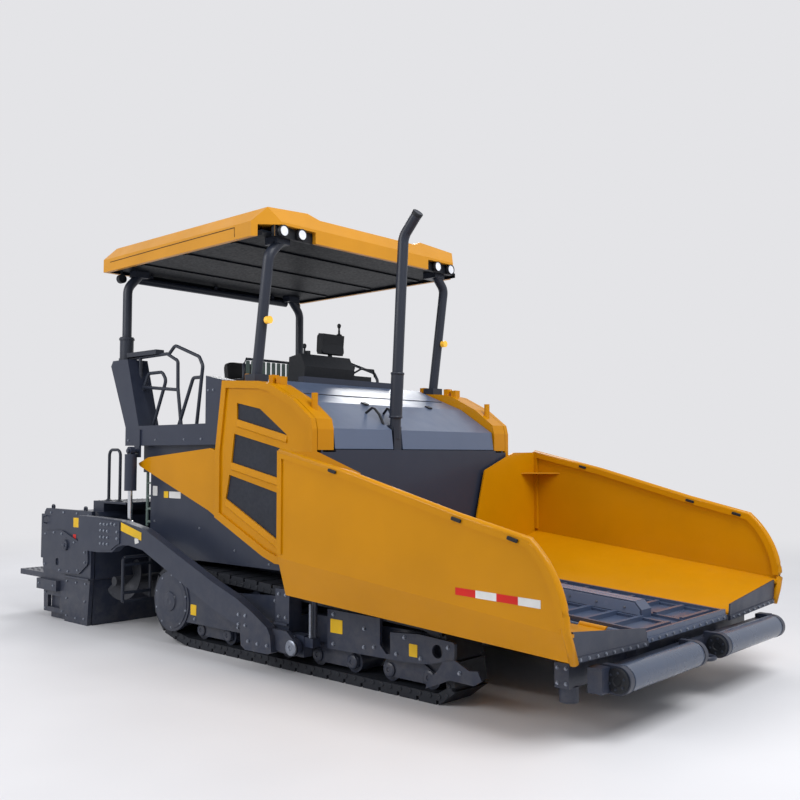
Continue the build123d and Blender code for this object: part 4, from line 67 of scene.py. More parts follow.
# ---- materials
def linear(colour):
    """Linear colour from sRGB values of 0 to 255."""
    return tuple(
        c / 255 / 12.92 if c / 255 <= 0.04045 else ((c / 255 + 0.055) / 1.055) ** 2.4
        for c in colour
    )


def shade(colour, share, lift=0.0):
    """The colour times a share, kept within 1."""
    return tuple(min(1.0, c * share + lift) for c in colour)


def add_node(tree, kind, output, inputs, operation=None):
    """New shader node whose inputs are set to values or linked to sockets; gives its output."""
    node = tree.nodes.new("ShaderNode" + kind)
    if operation:
        node.operation = operation
    for key, value in inputs.items():
        if isinstance(value, bpy.types.NodeSocket):
            tree.links.new(value, node.inputs[key])
        else:
            node.inputs[key].default_value = value
    return node.outputs[output]


class Finish:
    """Builds one procedural material, node by node."""

    def __init__(self, name, roughness, metallic=0.0, coat=0.0, coat_roughness=0.08, specular=0.3):
        self.material = bpy.data.materials.new(name)
        self.material.use_nodes = True
        self.tree = self.material.node_tree
        self.shader = self.tree.nodes["Principled BSDF"]
        self.shader.inputs["Roughness"].default_value = roughness
        self.shader.inputs["Metallic"].default_value = metallic
        self.shader.inputs["Specular IOR Level"].default_value = specular
        self.shader.inputs["Coat Weight"].default_value = coat
        self.shader.inputs["Coat Roughness"].default_value = coat_roughness
        self.place = self.add("TexCoord", "Object", {})

    def add(self, kind, output, inputs, operation=None):
        return add_node(self.tree, kind, output, inputs, operation)

    def noise(self, scale, detail=4.0, rough=0.55, stretch=None):
        """Noise in the object's own space; stretch scales its axes."""
        vector = self.place
        if stretch:
            vector = self.add("Mapping", "Vector", {"Vector": vector, "Scale": stretch})
        inputs = {"Vector": vector, "Scale": scale, "Detail": detail, "Roughness": rough}
        return self.add("TexNoise", "Fac", inputs)

    def spread(self, value, low=0.3, high=0.7, to_low=0.0, to_high=1.0):
        """The value's range low..high stretched to to_low..to_high."""
        inputs = {"Value": value, "From Min": low, "From Max": high}
        return self.add("MapRange", "Result", {**inputs, "To Min": to_low, "To Max": to_high})

    def multiply(self, first, second):
        return self.add("Math", "Value", {0: first, 1: second}, "MULTIPLY")

    def blend(self, factor, first, second):
        """Mix of two colours, each a socket or three numbers."""
        node = self.tree.nodes.new("ShaderNodeMix")
        node.data_type = "RGBA"
        self.tree.links.new(factor, node.inputs["Factor"])
        for socket, colour in ((node.inputs["A"], first), (node.inputs["B"], second)):
            if isinstance(colour, tuple):
                socket.default_value = (*colour, 1.0)
            else:
                self.tree.links.new(colour, socket)
        return node.outputs["Result"]

    def height(self):
        """Height above the ground in metres."""
        return self.add("SeparateXYZ", "Z", {"Vector": self.place})

    def colour(self, socket):
        self.tree.links.new(socket, self.shader.inputs["Base Color"])

    def vary_roughness(self, noise, roughness, low, high):
        """Roughness that wanders between two shares of its value."""
        socket = self.spread(noise, to_low=roughness * low, to_high=min(1.0, roughness * high))
        self.tree.links.new(socket, self.shader.inputs["Roughness"])

    def bump(self, socket, strength, distance):
        inputs = {"Strength": strength, "Distance": distance, "Height": socket}
        self.tree.links.new(self.add("Bump", "Normal", inputs), self.shader.inputs["Normal"])


ROAD_DUST = linear((112, 108, 104))
DUST_HEIGHTS = (0.9, 0.05)  # none above the first, full below the second


def paint(name, rgb, roughness, coat, dust=0.25, peel=0.0006, specular=0.3, blur=0.12):
    """Sprayed paint: slight tone clouds, orange peel, and road dust low down."""
    finish = Finish(name, roughness, coat=coat, coat_roughness=blur, specular=specular)
    base = linear(rgb)
    clouds = finish.spread(finish.noise(1.7, 3))
    toned = finish.blend(clouds, shade(base, 0.93), shade(base, 1.04))
    low = finish.spread(finish.height(), *DUST_HEIGHTS, 0.0, dust)
    grime = finish.noise(9, 6, 0.7)
    settled = finish.multiply(low, finish.spread(grime, 0.42, 0.68))
    finish.colour(finish.blend(settled, toned, ROAD_DUST))
    finish.vary_roughness(finish.noise(6, 4), roughness, 0.85, 1.2)
    finish.bump(finish.noise(260, 2), 0.12, peel)
    return finish.material


def rubber(name, rgb, roughness=0.62):
    """Rubber or cast steel with fine grain and pale scuffs."""
    finish = Finish(name, roughness)
    base = linear(rgb)
    scuffs = finish.spread(finish.noise(14, 8, 0.75), 0.56, 0.74)
    finish.colour(finish.blend(scuffs, base, shade(base, 1.9, 0.006)))
    finish.vary_roughness(finish.noise(22, 5), roughness, 0.8, 1.15)
    finish.bump(finish.noise(120, 6, 0.7), 0.3, 0.0015)
    return finish.material


def steel(name, rgb, roughness, streak=(1.0, 30.0, 30.0), metallic=0.85):
    """Bare steel, brushed or worn along one direction."""
    finish = Finish(name, roughness, metallic=metallic)
    base = linear(rgb)
    lines = finish.spread(finish.noise(6, 6, 0.6, streak))
    finish.colour(finish.blend(lines, shade(base, 0.72), shade(base, 1.15)))
    finish.vary_roughness(finish.noise(30, 5, 0.6, streak), roughness, 0.7, 1.3)
    finish.bump(finish.noise(60, 5, 0.6, streak), 0.15, 0.0006)
    return finish.material


def plastic(name, rgb, roughness, grain=500, coat=0.0, specular=0.3):
    """Moulded plastic with a fine grain."""
    finish = Finish(name, roughness, coat=coat, specular=specular)
    base = linear(rgb)
    clouds = finish.spread(finish.noise(4, 3))
    finish.colour(finish.blend(clouds, shade(base, 0.85), shade(base, 1.12)))
    finish.vary_roughness(finish.noise(40, 3), roughness, 0.85, 1.15)
    finish.bump(finish.noise(grain, 3), 0.2, 0.0005)
    return finish.material


def lens(name, rgb, glow=0.0):
    """Lamp lens with a fluted pattern."""
    finish = Finish(name, 0.12, coat=0.6)
    base = linear(rgb)
    ring = finish.spread(finish.noise(18, 2))
    finish.colour(finish.blend(ring, shade(base, 0.8), base))
    wave = finish.add("TexWave", "Fac", {"Scale": 60, "Vector": finish.place})
    finish.bump(wave, 0.3, 0.001)
    finish.shader.inputs["Emission Color"].default_value = (*base, 1)
    finish.shader.inputs["Emission Strength"].default_value = glow
    return finish.material


AMBER = (196, 132, 2)
MATERIALS = {
    "paint_yellow": paint(
        "amber_paint", AMBER, 0.36, 0.22, dust=0.05, specular=0.08, blur=0.05
    ),
    "paint_dark": paint("dark_paint", (42, 48, 64), 0.40, 0.12),
    "paint_grey": paint(
        "hood_paint", (84, 97, 122), 0.34, 0.30, dust=0.0, peel=0.0002, specular=0.4, blur=0.30
    ),
    "mesh_black": plastic("mesh_black", (34, 38, 48), 0.6),
    "track_steel": rubber("track_rubber", (32, 35, 42), 0.6),
    "roller_steel": paint("roller_paint", (66, 77, 97), 0.28, 0.30, dust=0.10, peel=0.0002),
    "auger_steel": rubber("auger_cast", (46, 48, 54), 0.5),
    "rod_chrome": steel("chrome_rod", (205, 208, 214), 0.14, (30.0, 30.0, 1.0), 1.0),
    "cast_engine": rubber("engine_cast", (80, 82, 86), 0.6),
    "tube_dark": paint("tube_paint", (38, 43, 55), 0.42, 0.12, dust=0.0),
    "wear_steel": paint("deck_paint", (66, 78, 102), 0.30, 0.35, dust=0.0, peel=0.0002, blur=0.25),
    "seat_black": plastic("seat_vinyl", (26, 27, 31), 0.52, 240),
    "plastic_black": plastic("moulded_black", (24, 27, 33), 0.5, 380),
    "roof_yellow": paint(
        "roof_gelcoat", (206, 142, 34), 0.40, 0.10, dust=0.0, specular=0.2, blur=0.35
    ),
    "roof_lining": plastic("roof_lining", (15, 19, 26), 0.46, 60, specular=0.06),
    "lamp_white": lens("lamp_lens", (232, 236, 244), 0.15),
    "lamp_amber": lens("amber_lens", (250, 190, 60), 0.3),
    "rail_pale": paint("rail_paint", (112, 130, 124), 0.42, 0.2),
    "bolt_zinc": steel("bolt_zinc", (132, 138, 150), 0.38, (8.0, 8.0, 8.0), 0.7),
    "plate_yellow": plastic("plate_yellow", (222, 178, 22), 0.4, 200),
    "plate_white": plastic("plate_white", (214, 214, 212), 0.36, 200),
    "plate_red": plastic("plate_red", (196, 26, 18), 0.34, 200),
    "guard_plate": paint(
        "guard_plate", (112, 126, 152), 0.24, 0.35, dust=0.0, peel=0.0002, blur=0.2
    ),
    "seam_dark": plastic("seam_dark", (30, 26, 22), 0.7, 200),
    "display": plastic("display_glass", (18, 22, 30), 0.08, 30, coat=0.6),
}
for row in frame["record"]["subparts"]:
    node = NODES[row["node"]]
    node.data.materials.clear()
    node.data.materials.append(MATERIALS[row["material_slot"]])


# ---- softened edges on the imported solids
SOFT_EDGE_LIMIT = math.radians(28)  # gentler edges stay as they are
SOFT_EDGES = {"paint_yellow": 0.006, "roof_yellow": 0.02, "paint_grey": 0.008, "paint_dark": 0.005}
for row in frame["record"]["subparts"]:
    width = SOFT_EDGES.get(row["material_slot"])
    if width:
        node = NODES[row["node"]]
        soften = node.modifiers.new("soft_edges", "BEVEL")
        soften.width = width
        soften.segments = 2
        soften.limit_method = "ANGLE"
        soften.angle_limit = SOFT_EDGE_LIMIT
        soften.harden_normals = False


# ---- making and placing small pieces
TREES = {}
UP, DOWN = (0, 0, 1), (0, 0, -1)
AHEAD_X, BESIDE_Y, ABOVE_Z = 4.0, 3.0, 4.0  # where rays towards the machine start
CHIP = 0.001  # how deep a fitting sits in its carrier


def hit(node, place, direction):
    """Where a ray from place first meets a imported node: point and normal, or None."""
    if node not in TREES:
        mesh = NODES[node].data
        corners = [vertex.co.copy() for vertex in mesh.vertices]
        faces = [tuple(face.vertices) for face in mesh.polygons]
        TREES[node] = BVHTree.FromPolygons(corners, faces)
    point, normal, _, _ = TREES[node].ray_cast(Vector(place), Vector(direction).normalized())
    if point is None:
        return None
    if normal.dot(Vector(direction)) > 0:
        normal = -normal
    return point, normal


def from_side(node, x, z, sign):
    """Point and normal on the node's outer side at (x, z)."""
    return hit(node, (x, sign * BESIDE_Y, z), (0, -sign, 0))


def from_front(node, y, z):
    """Point and normal on the node's front at (y, z)."""
    return hit(node, (AHEAD_X, y, z), (-1, 0, 0))


def on_top(node, x, y):
    """Point and normal on the node's top at (x, y)."""
    return hit(node, (x, y, ABOVE_Z), DOWN)


def facing(point, normal, turn=0.0):
    """Matrix whose z axis is the normal at the point; x stays level where it can."""
    normal = Vector(normal).normalized()
    side = Vector((0, 0, 1)).cross(normal)
    side = Vector((1, 0, 0)) if side.length < 0.01 else side.normalized()
    up = normal.cross(side)
    basis = Matrix((side, up, normal)).transposed().to_4x4()
    return Matrix.Translation(Vector(point)) @ basis @ Matrix.Rotation(turn, 4, "Z")


def on_flank(x, y, z, sign):
    """Matrix whose z axis points outwards at the place, mirrored to the sign's side."""
    return facing((x, sign * y, z), (0, sign, 0))


def mirrored(points, sign):
    return [(x, sign * y, z) for x, y, z in points]


def row_of(start, end, count):
    """Evenly spaced points from start to end, both included."""
    shares = [i / (count - 1) for i in range(count)]
    return [tuple(a + (b - a) * share for a, b in zip(start, end)) for share in shares]


def arc(centre, radius, start, end, steps):
    """Points of a plane arc, angles in degrees."""
    turns = [math.radians(start + (end - start) * i / steps) for i in range(steps + 1)]
    return [(centre[0] + radius * math.cos(a), centre[1] + radius * math.sin(a)) for a in turns]


def cap_profile(radius, rim, height, shoulder, bore, floor_level):
    """Turned outline of a cap with a sloping shoulder and a sunk middle."""
    lip = bore + 0.004
    return (
        (radius, -CHIP), (radius, rim), (shoulder, height), (lip, height), (bore, floor_level),
        (0, floor_level),
    )


def band_profile(inner, outer, height):
    """Turned outline of a clamp band with sloping edges."""
    slope = 0.002
    return ((inner, 0), (outer, slope), (outer, height - slope), (inner, height))


def linked(name, data):
    """New object of the data, linked to the scene."""
    thing = bpy.data.objects.new(name, data)
    bpy.context.collection.objects.link(thing)
    return thing


class Bench:
    """Collects many small shapes in one mesh and hands it over as one piece."""

    def __init__(self, name, body, slot, material=None):
        self.name, self.body, self.slot = name, body, slot
        self.material = material or MATERIALS[slot]
        self.mesh = bmesh.new()

    def lathe(self, profile, place, sides=24):
        """Solid of revolution about the place's z axis; profile is (radius, height) rows."""
        rings = []
        for radius, height in profile:
            if radius == 0:
                rings.append([self.mesh.verts.new(place @ Vector((0, 0, height)))])
                continue
            points = [Vector((x, y, height)) for x, y in arc((0, 0), radius, 0, 360, sides)[:-1]]
            rings.append([self.mesh.verts.new(place @ point) for point in points])
        for low, high in zip(rings, rings[1:]):
            for i in range(sides):
                j = (i + 1) % sides
                corners = [low[i % len(low)], low[j % len(low)]]
                corners += [high[j % len(high)], high[i % len(high)]]
                unique = list(dict.fromkeys(corners))
                if len(unique) > 2:
                    self.mesh.faces.new(unique)

    def bolt(self, place, size):
        """Washer and hexagonal head with a chamfered top."""
        washer = size * 1.25
        self.lathe([(washer, -CHIP), (washer, size * 0.25), (0, size * 0.25)], place, 14)
        head = [(size, size * 0.2), (size, size * 0.85), (size * 0.82, size), (0, size)]
        self.lathe(head, place, 6)

    def bolt_at(self, found, size):
        """Bolt where a ray met a node, if it met one."""
        if found:
            self.bolt(facing(*found), size)

    def bolts(self, node, spots, sign, size):
        """Bolts on the node's outer side at (x, z) spots."""
        for x, z in spots:
            self.bolt_at(from_side(node, x, z, sign), size)

    def skin(self, rings):
        """Faces from ring to ring of as many points, closed at both ends."""
        for low, high in zip(rings, rings[1:]):
            for i in range(len(low)):
                j = (i + 1) % len(low)
                self.mesh.faces.new([low[i], low[j], high[j], high[i]])
        self.mesh.faces.new(list(reversed(rings[0])))
        self.mesh.faces.new(rings[-1])

    def slab(self, place, width, height, depth, corner):
        """Rounded plate on the place's xy plane, with a softened upper edge."""
        half_w, half_h = width / 2, height / 2
        soft = min(depth * 0.3, corner)

        def ring(inset, level):
            points = []
            for cx, cy, start in ((1, 1, 0), (-1, 1, 90), (-1, -1, 180), (1, -1, 270)):
                for step in (0, 30, 60, 90):
                    angle = math.radians(start + step)
                    x = cx * (half_w - corner) + (corner - inset) * math.cos(angle)
                    y = cy * (half_h - corner) + (corner - inset) * math.sin(angle)
                    points.append(self.mesh.verts.new(place @ Vector((x, y, level))))
            return points

        self.skin([ring(0, -CHIP), ring(0, depth - soft), ring(soft * 0.7, depth)])

    def tube(self, points, radius, sides=10):
        """Round bar through the points."""
        points = [Vector(point) for point in points]
        rings = []
        for i, point in enumerate(points):
            along = (points[min(i + 1, len(points) - 1)] - points[max(i - 1, 0)]).normalized()
            side = along.cross(Vector(UP))
            side = along.cross(Vector((0, 1, 0))) if side.length < 0.2 else side
            side.normalize()
            up = side.cross(along)
            circle = arc((0, 0), radius, 0, 360, sides)[:-1]
            rings.append([self.mesh.verts.new(point + side * a + up * b) for a, b in circle])
        self.skin(rings)

    def prism(self, corners, depth):
        """Plate whose face has the given corners, thickened by the vector depth."""
        depth = Vector(depth)
        low = [self.mesh.verts.new(Vector(corner)) for corner in corners]
        self.skin([low, [self.mesh.verts.new(vertex.co + depth) for vertex in low]])

    def finish(self, smooth=False, soft=0.0, subdivide=0):
        """The piece: its mesh with softened edges or rounded off, riding its body."""
        if not self.mesh.faces:
            self.mesh.free()
            return None
        bmesh.ops.recalc_face_normals(self.mesh, faces=self.mesh.faces)
        data = bpy.data.meshes.new(self.name)
        self.mesh.to_mesh(data)
        self.mesh.free()
        data.materials.append(self.material)
        piece = linked(self.name, data)
        if smooth:
            for face in data.polygons:
                face.use_smooth = True
        if soft:
            bevel = piece.modifiers.new("soft_edges", "BEVEL")
            bevel.width, bevel.segments, bevel.limit_method = soft, 2, "ANGLE"
        if subdivide:
            rounder = piece.modifiers.new("rounded", "SUBSURF")
            rounder.levels = rounder.render_levels = subdivide
        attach(piece, self.body)
        return piece


def zinc_bench(name, body):
    """Bench for zinc-plated bolts and pins."""
    return Bench(name, body, "rod_chrome", MATERIALS["bolt_zinc"])


# ---- tracks and chassis sides
# wheels that the belt runs round: x, z, radius to its outer face
BELT_WHEELS = ((-0.64, 0.12, 0.09), (2.21, 0.12, 0.09), (2.08, 0.33, 0.19), (-0.86, 0.375, 0.3))
DRIVE_HUB = BELT_WHEELS[3][:2]
BELT_STEP = 0.01
BELT_FACES = ((1.25, 1), (0.9, -1))  # y of its outer and inner face, and which way each looks
SHOES = 43
PIN_INSET = 0.024
TRACK_PIN = ((0.017, -0.001), (0.017, 0.004), (0.011, 0.006), (0, 0.004))
GUARD_BOLTS = (
    (1.2, 0.49), (1.518, 0.424), (1.516, 0.294), (1.615, 0.308), (1.2, 0.275), (1.902, 0.413),
    (1.829, 0.29), (2.05, 0.29), (2.29, 0.395), (2.225, 0.26), (2.155, 0.201), (2.4, 0.25),
    (-0.52, 0.495), (-0.52, 0.255), (0.08, 0.49), (0.08, 0.255), (0.54, 0.52), (0.54, 0.255),
)
ROLLERS = 8
ROLLER_INSET = 0.135
ROLLER_Y = 1.209
ROLLER_Z = 0.1555
ROLLER_CAP = cap_profile(0.052, 0.012, 0.018, 0.04, 0.014, 0.012)
DRIVE_BOLT_CIRCLE = 0.228
DRIVE_COVER_Y = 1.2853
DRIVE_COVER = (
    (0.235, -0.001), (0.235, 0.006), (0.19, 0.01), (0.085, 0.01), (0.08, 0.022), (0.03, 0.026),
    (0, 0.022),
)


def belt_runs():
    """The belt's straight runs: start, end and outward direction of each."""
    runs = []
    for (ax, az, ar), (bx, bz, br) in zip(BELT_WHEELS, BELT_WHEELS[1:] + BELT_WHEELS[:1]):
        along = Vector((bx - ax, bz - az))
        length = along.length
        along /= length
        lean = (ar - br) / length
        across = math.sqrt(1 - lean * lean)
        normal = Vector((along[1] * across + along[0] * lean, -along[0] * across + along[1] * lean))
        runs.append((Vector((ax, az)) + normal * ar, Vector((bx, bz)) + normal * br, normal))
    return runs


def belt_points(count, inset):
    """Places and outward directions along the belt, inset from its outer face."""
    runs = belt_runs()
    path = []
    for i, (start, end, normal) in enumerate(runs):
        steps = max(2, int((end - start).length / BELT_STEP))
        path += [(start.lerp(end, k / steps), normal) for k in range(steps)]
        x, z, radius = BELT_WHEELS[(i + 1) % len(BELT_WHEELS)]
        following = runs[(i + 1) % len(runs)][2]
        first, last = math.atan2(normal[1], normal[0]), math.atan2(following[1], following[0])
        while last < first:
            last += 2 * math.pi
        steps = max(2, int(radius * (last - first) / BELT_STEP))
        for k in range(steps):
            angle = first + (last - first) * k / steps
            outward = Vector((math.cos(angle), math.sin(angle)))
            path.append((Vector((x, z)) + outward * radius, outward))
    total = sum((path[i][0] - path[i - 1][0]).length for i in range(1, len(path)))
    found, walked, target = [], 0.0, 0.0
    for i in range(1, len(path)):
        walked += (path[i][0] - path[i - 1][0]).length
        if walked >= target and len(found) < count:
            found.append((path[i][0] - path[i][1] * inset, path[i][1]))
            target += total / count
    return found


def dress_track(side, sign):
    """Pins along the belt, bolts on the guards, caps on the rollers and the drive."""
    links = Bench(f"track_pins_{side}", "tractor", "track_steel")
    for (x, z), _ in belt_points(SHOES * 2, PIN_INSET):
        for y, face in BELT_FACES:
            links.lathe(TRACK_PIN, facing((x, sign * y, z), (0, sign * face, 0)), 12)
    links.finish()
    guards = zinc_bench(f"guard_bolts_{side}", "tractor")
    guards.bolts(f"track_frame_{side}", GUARD_BOLTS, sign, size=0.012)
    ring = arc(DRIVE_HUB, DRIVE_BOLT_CIRCLE, 15, 345, 9)
    guards.bolts(f"track_frame_{side}", ring, sign, size=0.01)
    guards.finish()
    caps = Bench(f"roller_caps_{side}", "tractor", "paint_dark")
    first, last = BELT_WHEELS[0][0] + ROLLER_INSET, BELT_WHEELS[1][0] - ROLLER_INSET
    for (x,) in row_of((first,), (last,), ROLLERS):
        caps.lathe(ROLLER_CAP, on_flank(x, ROLLER_Y, ROLLER_Z, sign))
    caps.lathe(DRIVE_COVER, on_flank(DRIVE_HUB[0], DRIVE_COVER_Y, DRIVE_HUB[1], sign), 48)
    caps.finish(soft=0.001)


# ---- blank plates and reflectors
# side plates: body, node, finish, x, z, width, height, turn in degrees
SIDE_PLATES = (
    ("tractor", "track_frame", "plate_yellow", 1.234, 0.406, 0.125, 0.1, 0.0),
    ("tractor", "track_frame", "plate_yellow", 1.985, 0.335, 0.075, 0.085, 0.0),
    ("tractor", "track_frame", "plate_yellow", -0.54, 0.33, 0.08, 0.09, 0.0),
    ("tractor", "body_shell", "plate_white", -1.3, 1.33, 0.075, 0.09, 0.0),
    ("tractor", "body_shell", "plate_white", -0.98, 1.3, 0.18, 0.06, 0.0),
    ("tractor", "body_shell", "plate_yellow", -1.12, 1.3, 0.07, 0.06, 0.0),
    ("tractor", "platform", "plate_yellow", -1.33, 1.735, 0.13, 0.15, 0.0),
    ("extension", "screed_extension", "plate_yellow", -2.44, 0.99, 0.11, 0.095, 0.0),
    ("extension", "screed_extension", "plate_white", -2.614, 0.759, 0.052, 0.052, 0.0),
    ("extension", "screed_extension", "plate_red", -2.47, 0.85, 0.055, 0.045, 0.0),
    ("screed", "tow_arm", "plate_white", -1.12, 0.9, 0.06, 0.05, -14.0),
)
PLATE_SLOTS = {
    "plate_yellow": "paint_yellow", "plate_white": "lamp_white", "plate_red": "lamp_amber",
}
PLATE_DEPTH = 0.003
PLATE_CORNER = 0.005
ARM_STRIP = ((-1.38, 1.05), (-1.045, 0.975), (-1.045, 0.905), (-1.38, 0.975))
ARM_FACE_Y = 1.48
REFLECTORS = ("plate_red", "plate_white", "plate_red", "plate_white")
REFLECTOR_LOW = row_of((2.629, 0.812), (3.237, 0.790112), 5)  # x, z along the row's edges
REFLECTOR_HIGH = row_of((2.629, 0.856), (3.237, 0.83776), 5)
REFLECTOR_DEPTH = 0.0025


def dress_plates(side, sign):
    """Blank plates on the machine's side, strip on the tow arm, reflectors on the wing."""
    for index, (body, node, finish, x, z, width, height, turn) in enumerate(SIDE_PLATES):
        body = f"{body}_{side}" if body == "extension" else body
        node = node if node in NODES else f"{node}_{side}"
        found = from_side(node, x, z, sign)
        if found:
            name = f"blank_plate_{side}_{index}"
            plate = Bench(name, body, PLATE_SLOTS[finish], MATERIALS[finish])
            place = facing(*found, math.radians(turn) * sign)
            plate.slab(place, width, height, PLATE_DEPTH, PLATE_CORNER)
            plate.finish()
    strip = Bench(f"arm_strip_{side}", "screed", "paint_yellow", MATERIALS["plate_yellow"])
    strip.prism([(x, sign * ARM_FACE_Y, z) for x, z in ARM_STRIP], (0, sign * PLATE_DEPTH, 0))
    strip.finish()
    for index, finish in enumerate(REFLECTORS):
        name = f"wing_reflector_{side}_{index}"
        mark = Bench(name, f"wing_{side}", "lamp_white", MATERIALS[finish])
        upper = REFLECTOR_HIGH[index:index + 2]
        corners = (*REFLECTOR_LOW[index:index + 2], *reversed(upper))
        spots = [from_side(f"hopper_wing_{side}", x, z, sign) for x, z in corners]
        if all(spots):
            mark.prism([point for point, _ in spots], (0, sign * REFLECTOR_DEPTH, 0))
            mark.finish()


# ---- hopper wings
WING_EDGE = [(1.012, 1.688), (1.768, 1.519), (2.648, 1.287), (3.165, 1.167)]
WING_EDGE += arc((2.7345, 0.6641), 0.6575, 49.5, 1.5, 14) + [(3.3905, 0.6), (3.38, 0.49)]
WING_START = (1.005, 1.65)  # x, y of the wing's face at its rear end
WING_TAPER = 0.0213
RIM_RADIUS = 0.027
RIM_INSET = 0.014
RIM_DROP = 0.004
RIM_LEAN_Z = 0.67  # below this height the rim leans inwards
RIM_LEAN = 0.55
WING_CLIPS = ((1.579, 1.54882), (2.65, 1.266536), (3.06, 1.171416))  # x, z
CLIP_SLOPE = math.radians(14.5)
CLIP_FACES = ((1, 0.016), (-1, 0.043))  # outer or inner face, and its distance from the crease
CLIP = (0.075, 0.022, 0.012, 0.006)
APRON_BOLTS = ((0.68, 0.4758468), (1.44, 0.5018388))  # y, z of the row's ends


def wing_face(x):
    """Distance of the wing's face from the middle of the machine."""
    return WING_START[1] - (x - WING_START[0]) * WING_TAPER


def dress_wing(side, sign):
    """Rounded rim, clips and apron bolts of a hopper wing."""
    body = f"wing_{side}"
    rim = Bench(f"wing_rim_{side}", body, "paint_yellow")
    bead = []
    for x, z in WING_EDGE:
        inward = max(0.0, RIM_LEAN_Z - z) * RIM_LEAN
        bead.append((x, sign * (wing_face(x) - RIM_INSET - inward), z - RIM_DROP))
    rim.tube(bead, RIM_RADIUS, 12)
    rim.finish(smooth=True)
    clips = Bench(f"wing_fittings_{side}", body, "plastic_black")
    for x, z in WING_CLIPS:
        for face, level in CLIP_FACES:
            point = (x, sign * (wing_face(x) + face * level), z)
            clips.slab(facing(point, (0, sign * face, 0), CLIP_SLOPE * sign * face), *CLIP)
    clips.finish()
    bolts = zinc_bench(f"apron_bolts_{side}", body)
    for y, z in row_of(*APRON_BOLTS, 9):
        bolts.bolt_at(from_front(f"wing_flap_{side}", sign * y, z), size=0.009)
    bolts.finish()


# ---- conveyor nose and push beam
DECK_BOLTS = ((-0.55, 0.486), (0.55, 0.486))  # y, z of the row's ends
BEAM_CAP = cap_profile(0.074, 0.01, 0.016, 0.064, 0.026, 0.009)
BEAM_CAP_HEIGHT = 0.016
BEAM_BOLT_CIRCLE = 0.05
BEAM_PROBE = 0.04  # off the rollers' axis, where a ray meets the beam
BEAM_PROBES = ((3.0, -1), (0.02, 1))  # y where a ray starts, and which way it goes
ROLLER_RING = band_profile(0.0815, 0.0845, 0.008)
ROLLER_RING_YS = (0.222, 1.13)
OUTRIGGER_BOLTS = ((3.14, 0.4), (3.2, 0.4), (3.14, 0.31), (3.2, 0.31))


def push_axis():
    """x and z of the push rollers' axis."""
    low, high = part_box("push_roller_left")
    return (low[0] + high[0]) / 2, (low[2] + high[2]) / 2


def dress_front():
    """Bolts on the conveyor's nose, bearing caps at the ends of the push rollers."""
    nose = zinc_bench("deck_nose_bolts", "tractor")
    for y, z in row_of(*DECK_BOLTS, 12):
        nose.bolt_at(from_front("conveyor_deck", y, z), size=0.009)
    nose.finish()
    caps = Bench("push_beam_caps", "push_beam", "plastic_black")
    heads = Bench("push_beam_bolts", "push_beam", "tube_dark")
    x, z = push_axis()
    for _, sign in SIDES:
        for start, face in BEAM_PROBES:
            probe = (x + BEAM_PROBE, sign * start, z + BEAM_PROBE)
            found = hit("push_beam", probe, (0, sign * face, 0))
            if not found:
                continue
            level, outward = found[0][1], (0, -sign * face, 0)
            caps.lathe(BEAM_CAP, facing((x, level, z), outward), 32)
            level -= sign * face * BEAM_CAP_HEIGHT
            for bolt_x, bolt_z in arc((x, z), BEAM_BOLT_CIRCLE, 20, 380, 6)[:-1]:
                heads.bolt(facing((bolt_x, level, bolt_z), outward), size=0.007)
    caps.finish(soft=0.0015)
    heads.finish()


def dress_push_roller(side, sign):
    """End rings on a push roller, bolts on its outrigger."""
    x, z = push_axis()
    rings = Bench(f"push_roller_rings_{side}", f"push_roller_{side}", "roller_steel")
    for y in ROLLER_RING_YS:
        rings.lathe(ROLLER_RING, on_flank(x, y, z, sign), 40)
    rings.finish(smooth=True)
    nuts = zinc_bench(f"outrigger_bolts_{side}", "tractor")
    nuts.bolts("frame_crossbeams", OUTRIGGER_BOLTS, sign, size=0.01)
    nuts.finish()


# ---- conveyor guard
DECK_EDGE = (3.345, 0.497)  # x, z of the deck's front edge
DECK_SLOPE = math.tan(math.radians(4.0))
GUARD_SIDE = ((1.03, 0.02), (3.035, 0.02), (3.035, 0.056), (2.992, 0.102), (1.03, 0.102))
GUARD_TOP = ((1.03, 0.006), (2.99, 0.006), (2.99, 0.064), (1.03, 0.064))
GUARD_SIDE_Y = 0.0702
GUARD_TOP_RISE = 0.1102
GUARD_SHEET = 0.003
SCREW_Y = 0.073
SCREW_RISE = 0.06
SCREW_XS = ((1.12,), (2.92,))  # ends of the row


def deck_level(x):
    """Height of the conveyor deck, which falls towards the front."""
    return DECK_EDGE[1] + (DECK_EDGE[0] - x) * DECK_SLOPE


def dress_guard(side, sign):
    """Bare sheets and screws on the guard between the conveyor chains."""
    skin = Bench(f"guard_skin_{side}", "tractor", "wear_steel", MATERIALS["guard_plate"])
    corners = [(x, sign * GUARD_SIDE_Y, deck_level(x) + rise) for x, rise in GUARD_SIDE]
    skin.prism(corners, (0, sign * GUARD_SHEET, 0))
    corners = [(x, sign * y, deck_level(x) + GUARD_TOP_RISE) for x, y in GUARD_TOP]
    skin.prism(corners, (0, 0, GUARD_SHEET))
    skin.finish(soft=0.001)
    screws = zinc_bench(f"guard_screws_{side}", "tractor")
    for (x,) in row_of(*SCREW_XS, 9):
        screws.bolt(on_flank(x, SCREW_Y, deck_level(x) + SCREW_RISE, sign), size=0.008)
    screws.finish()


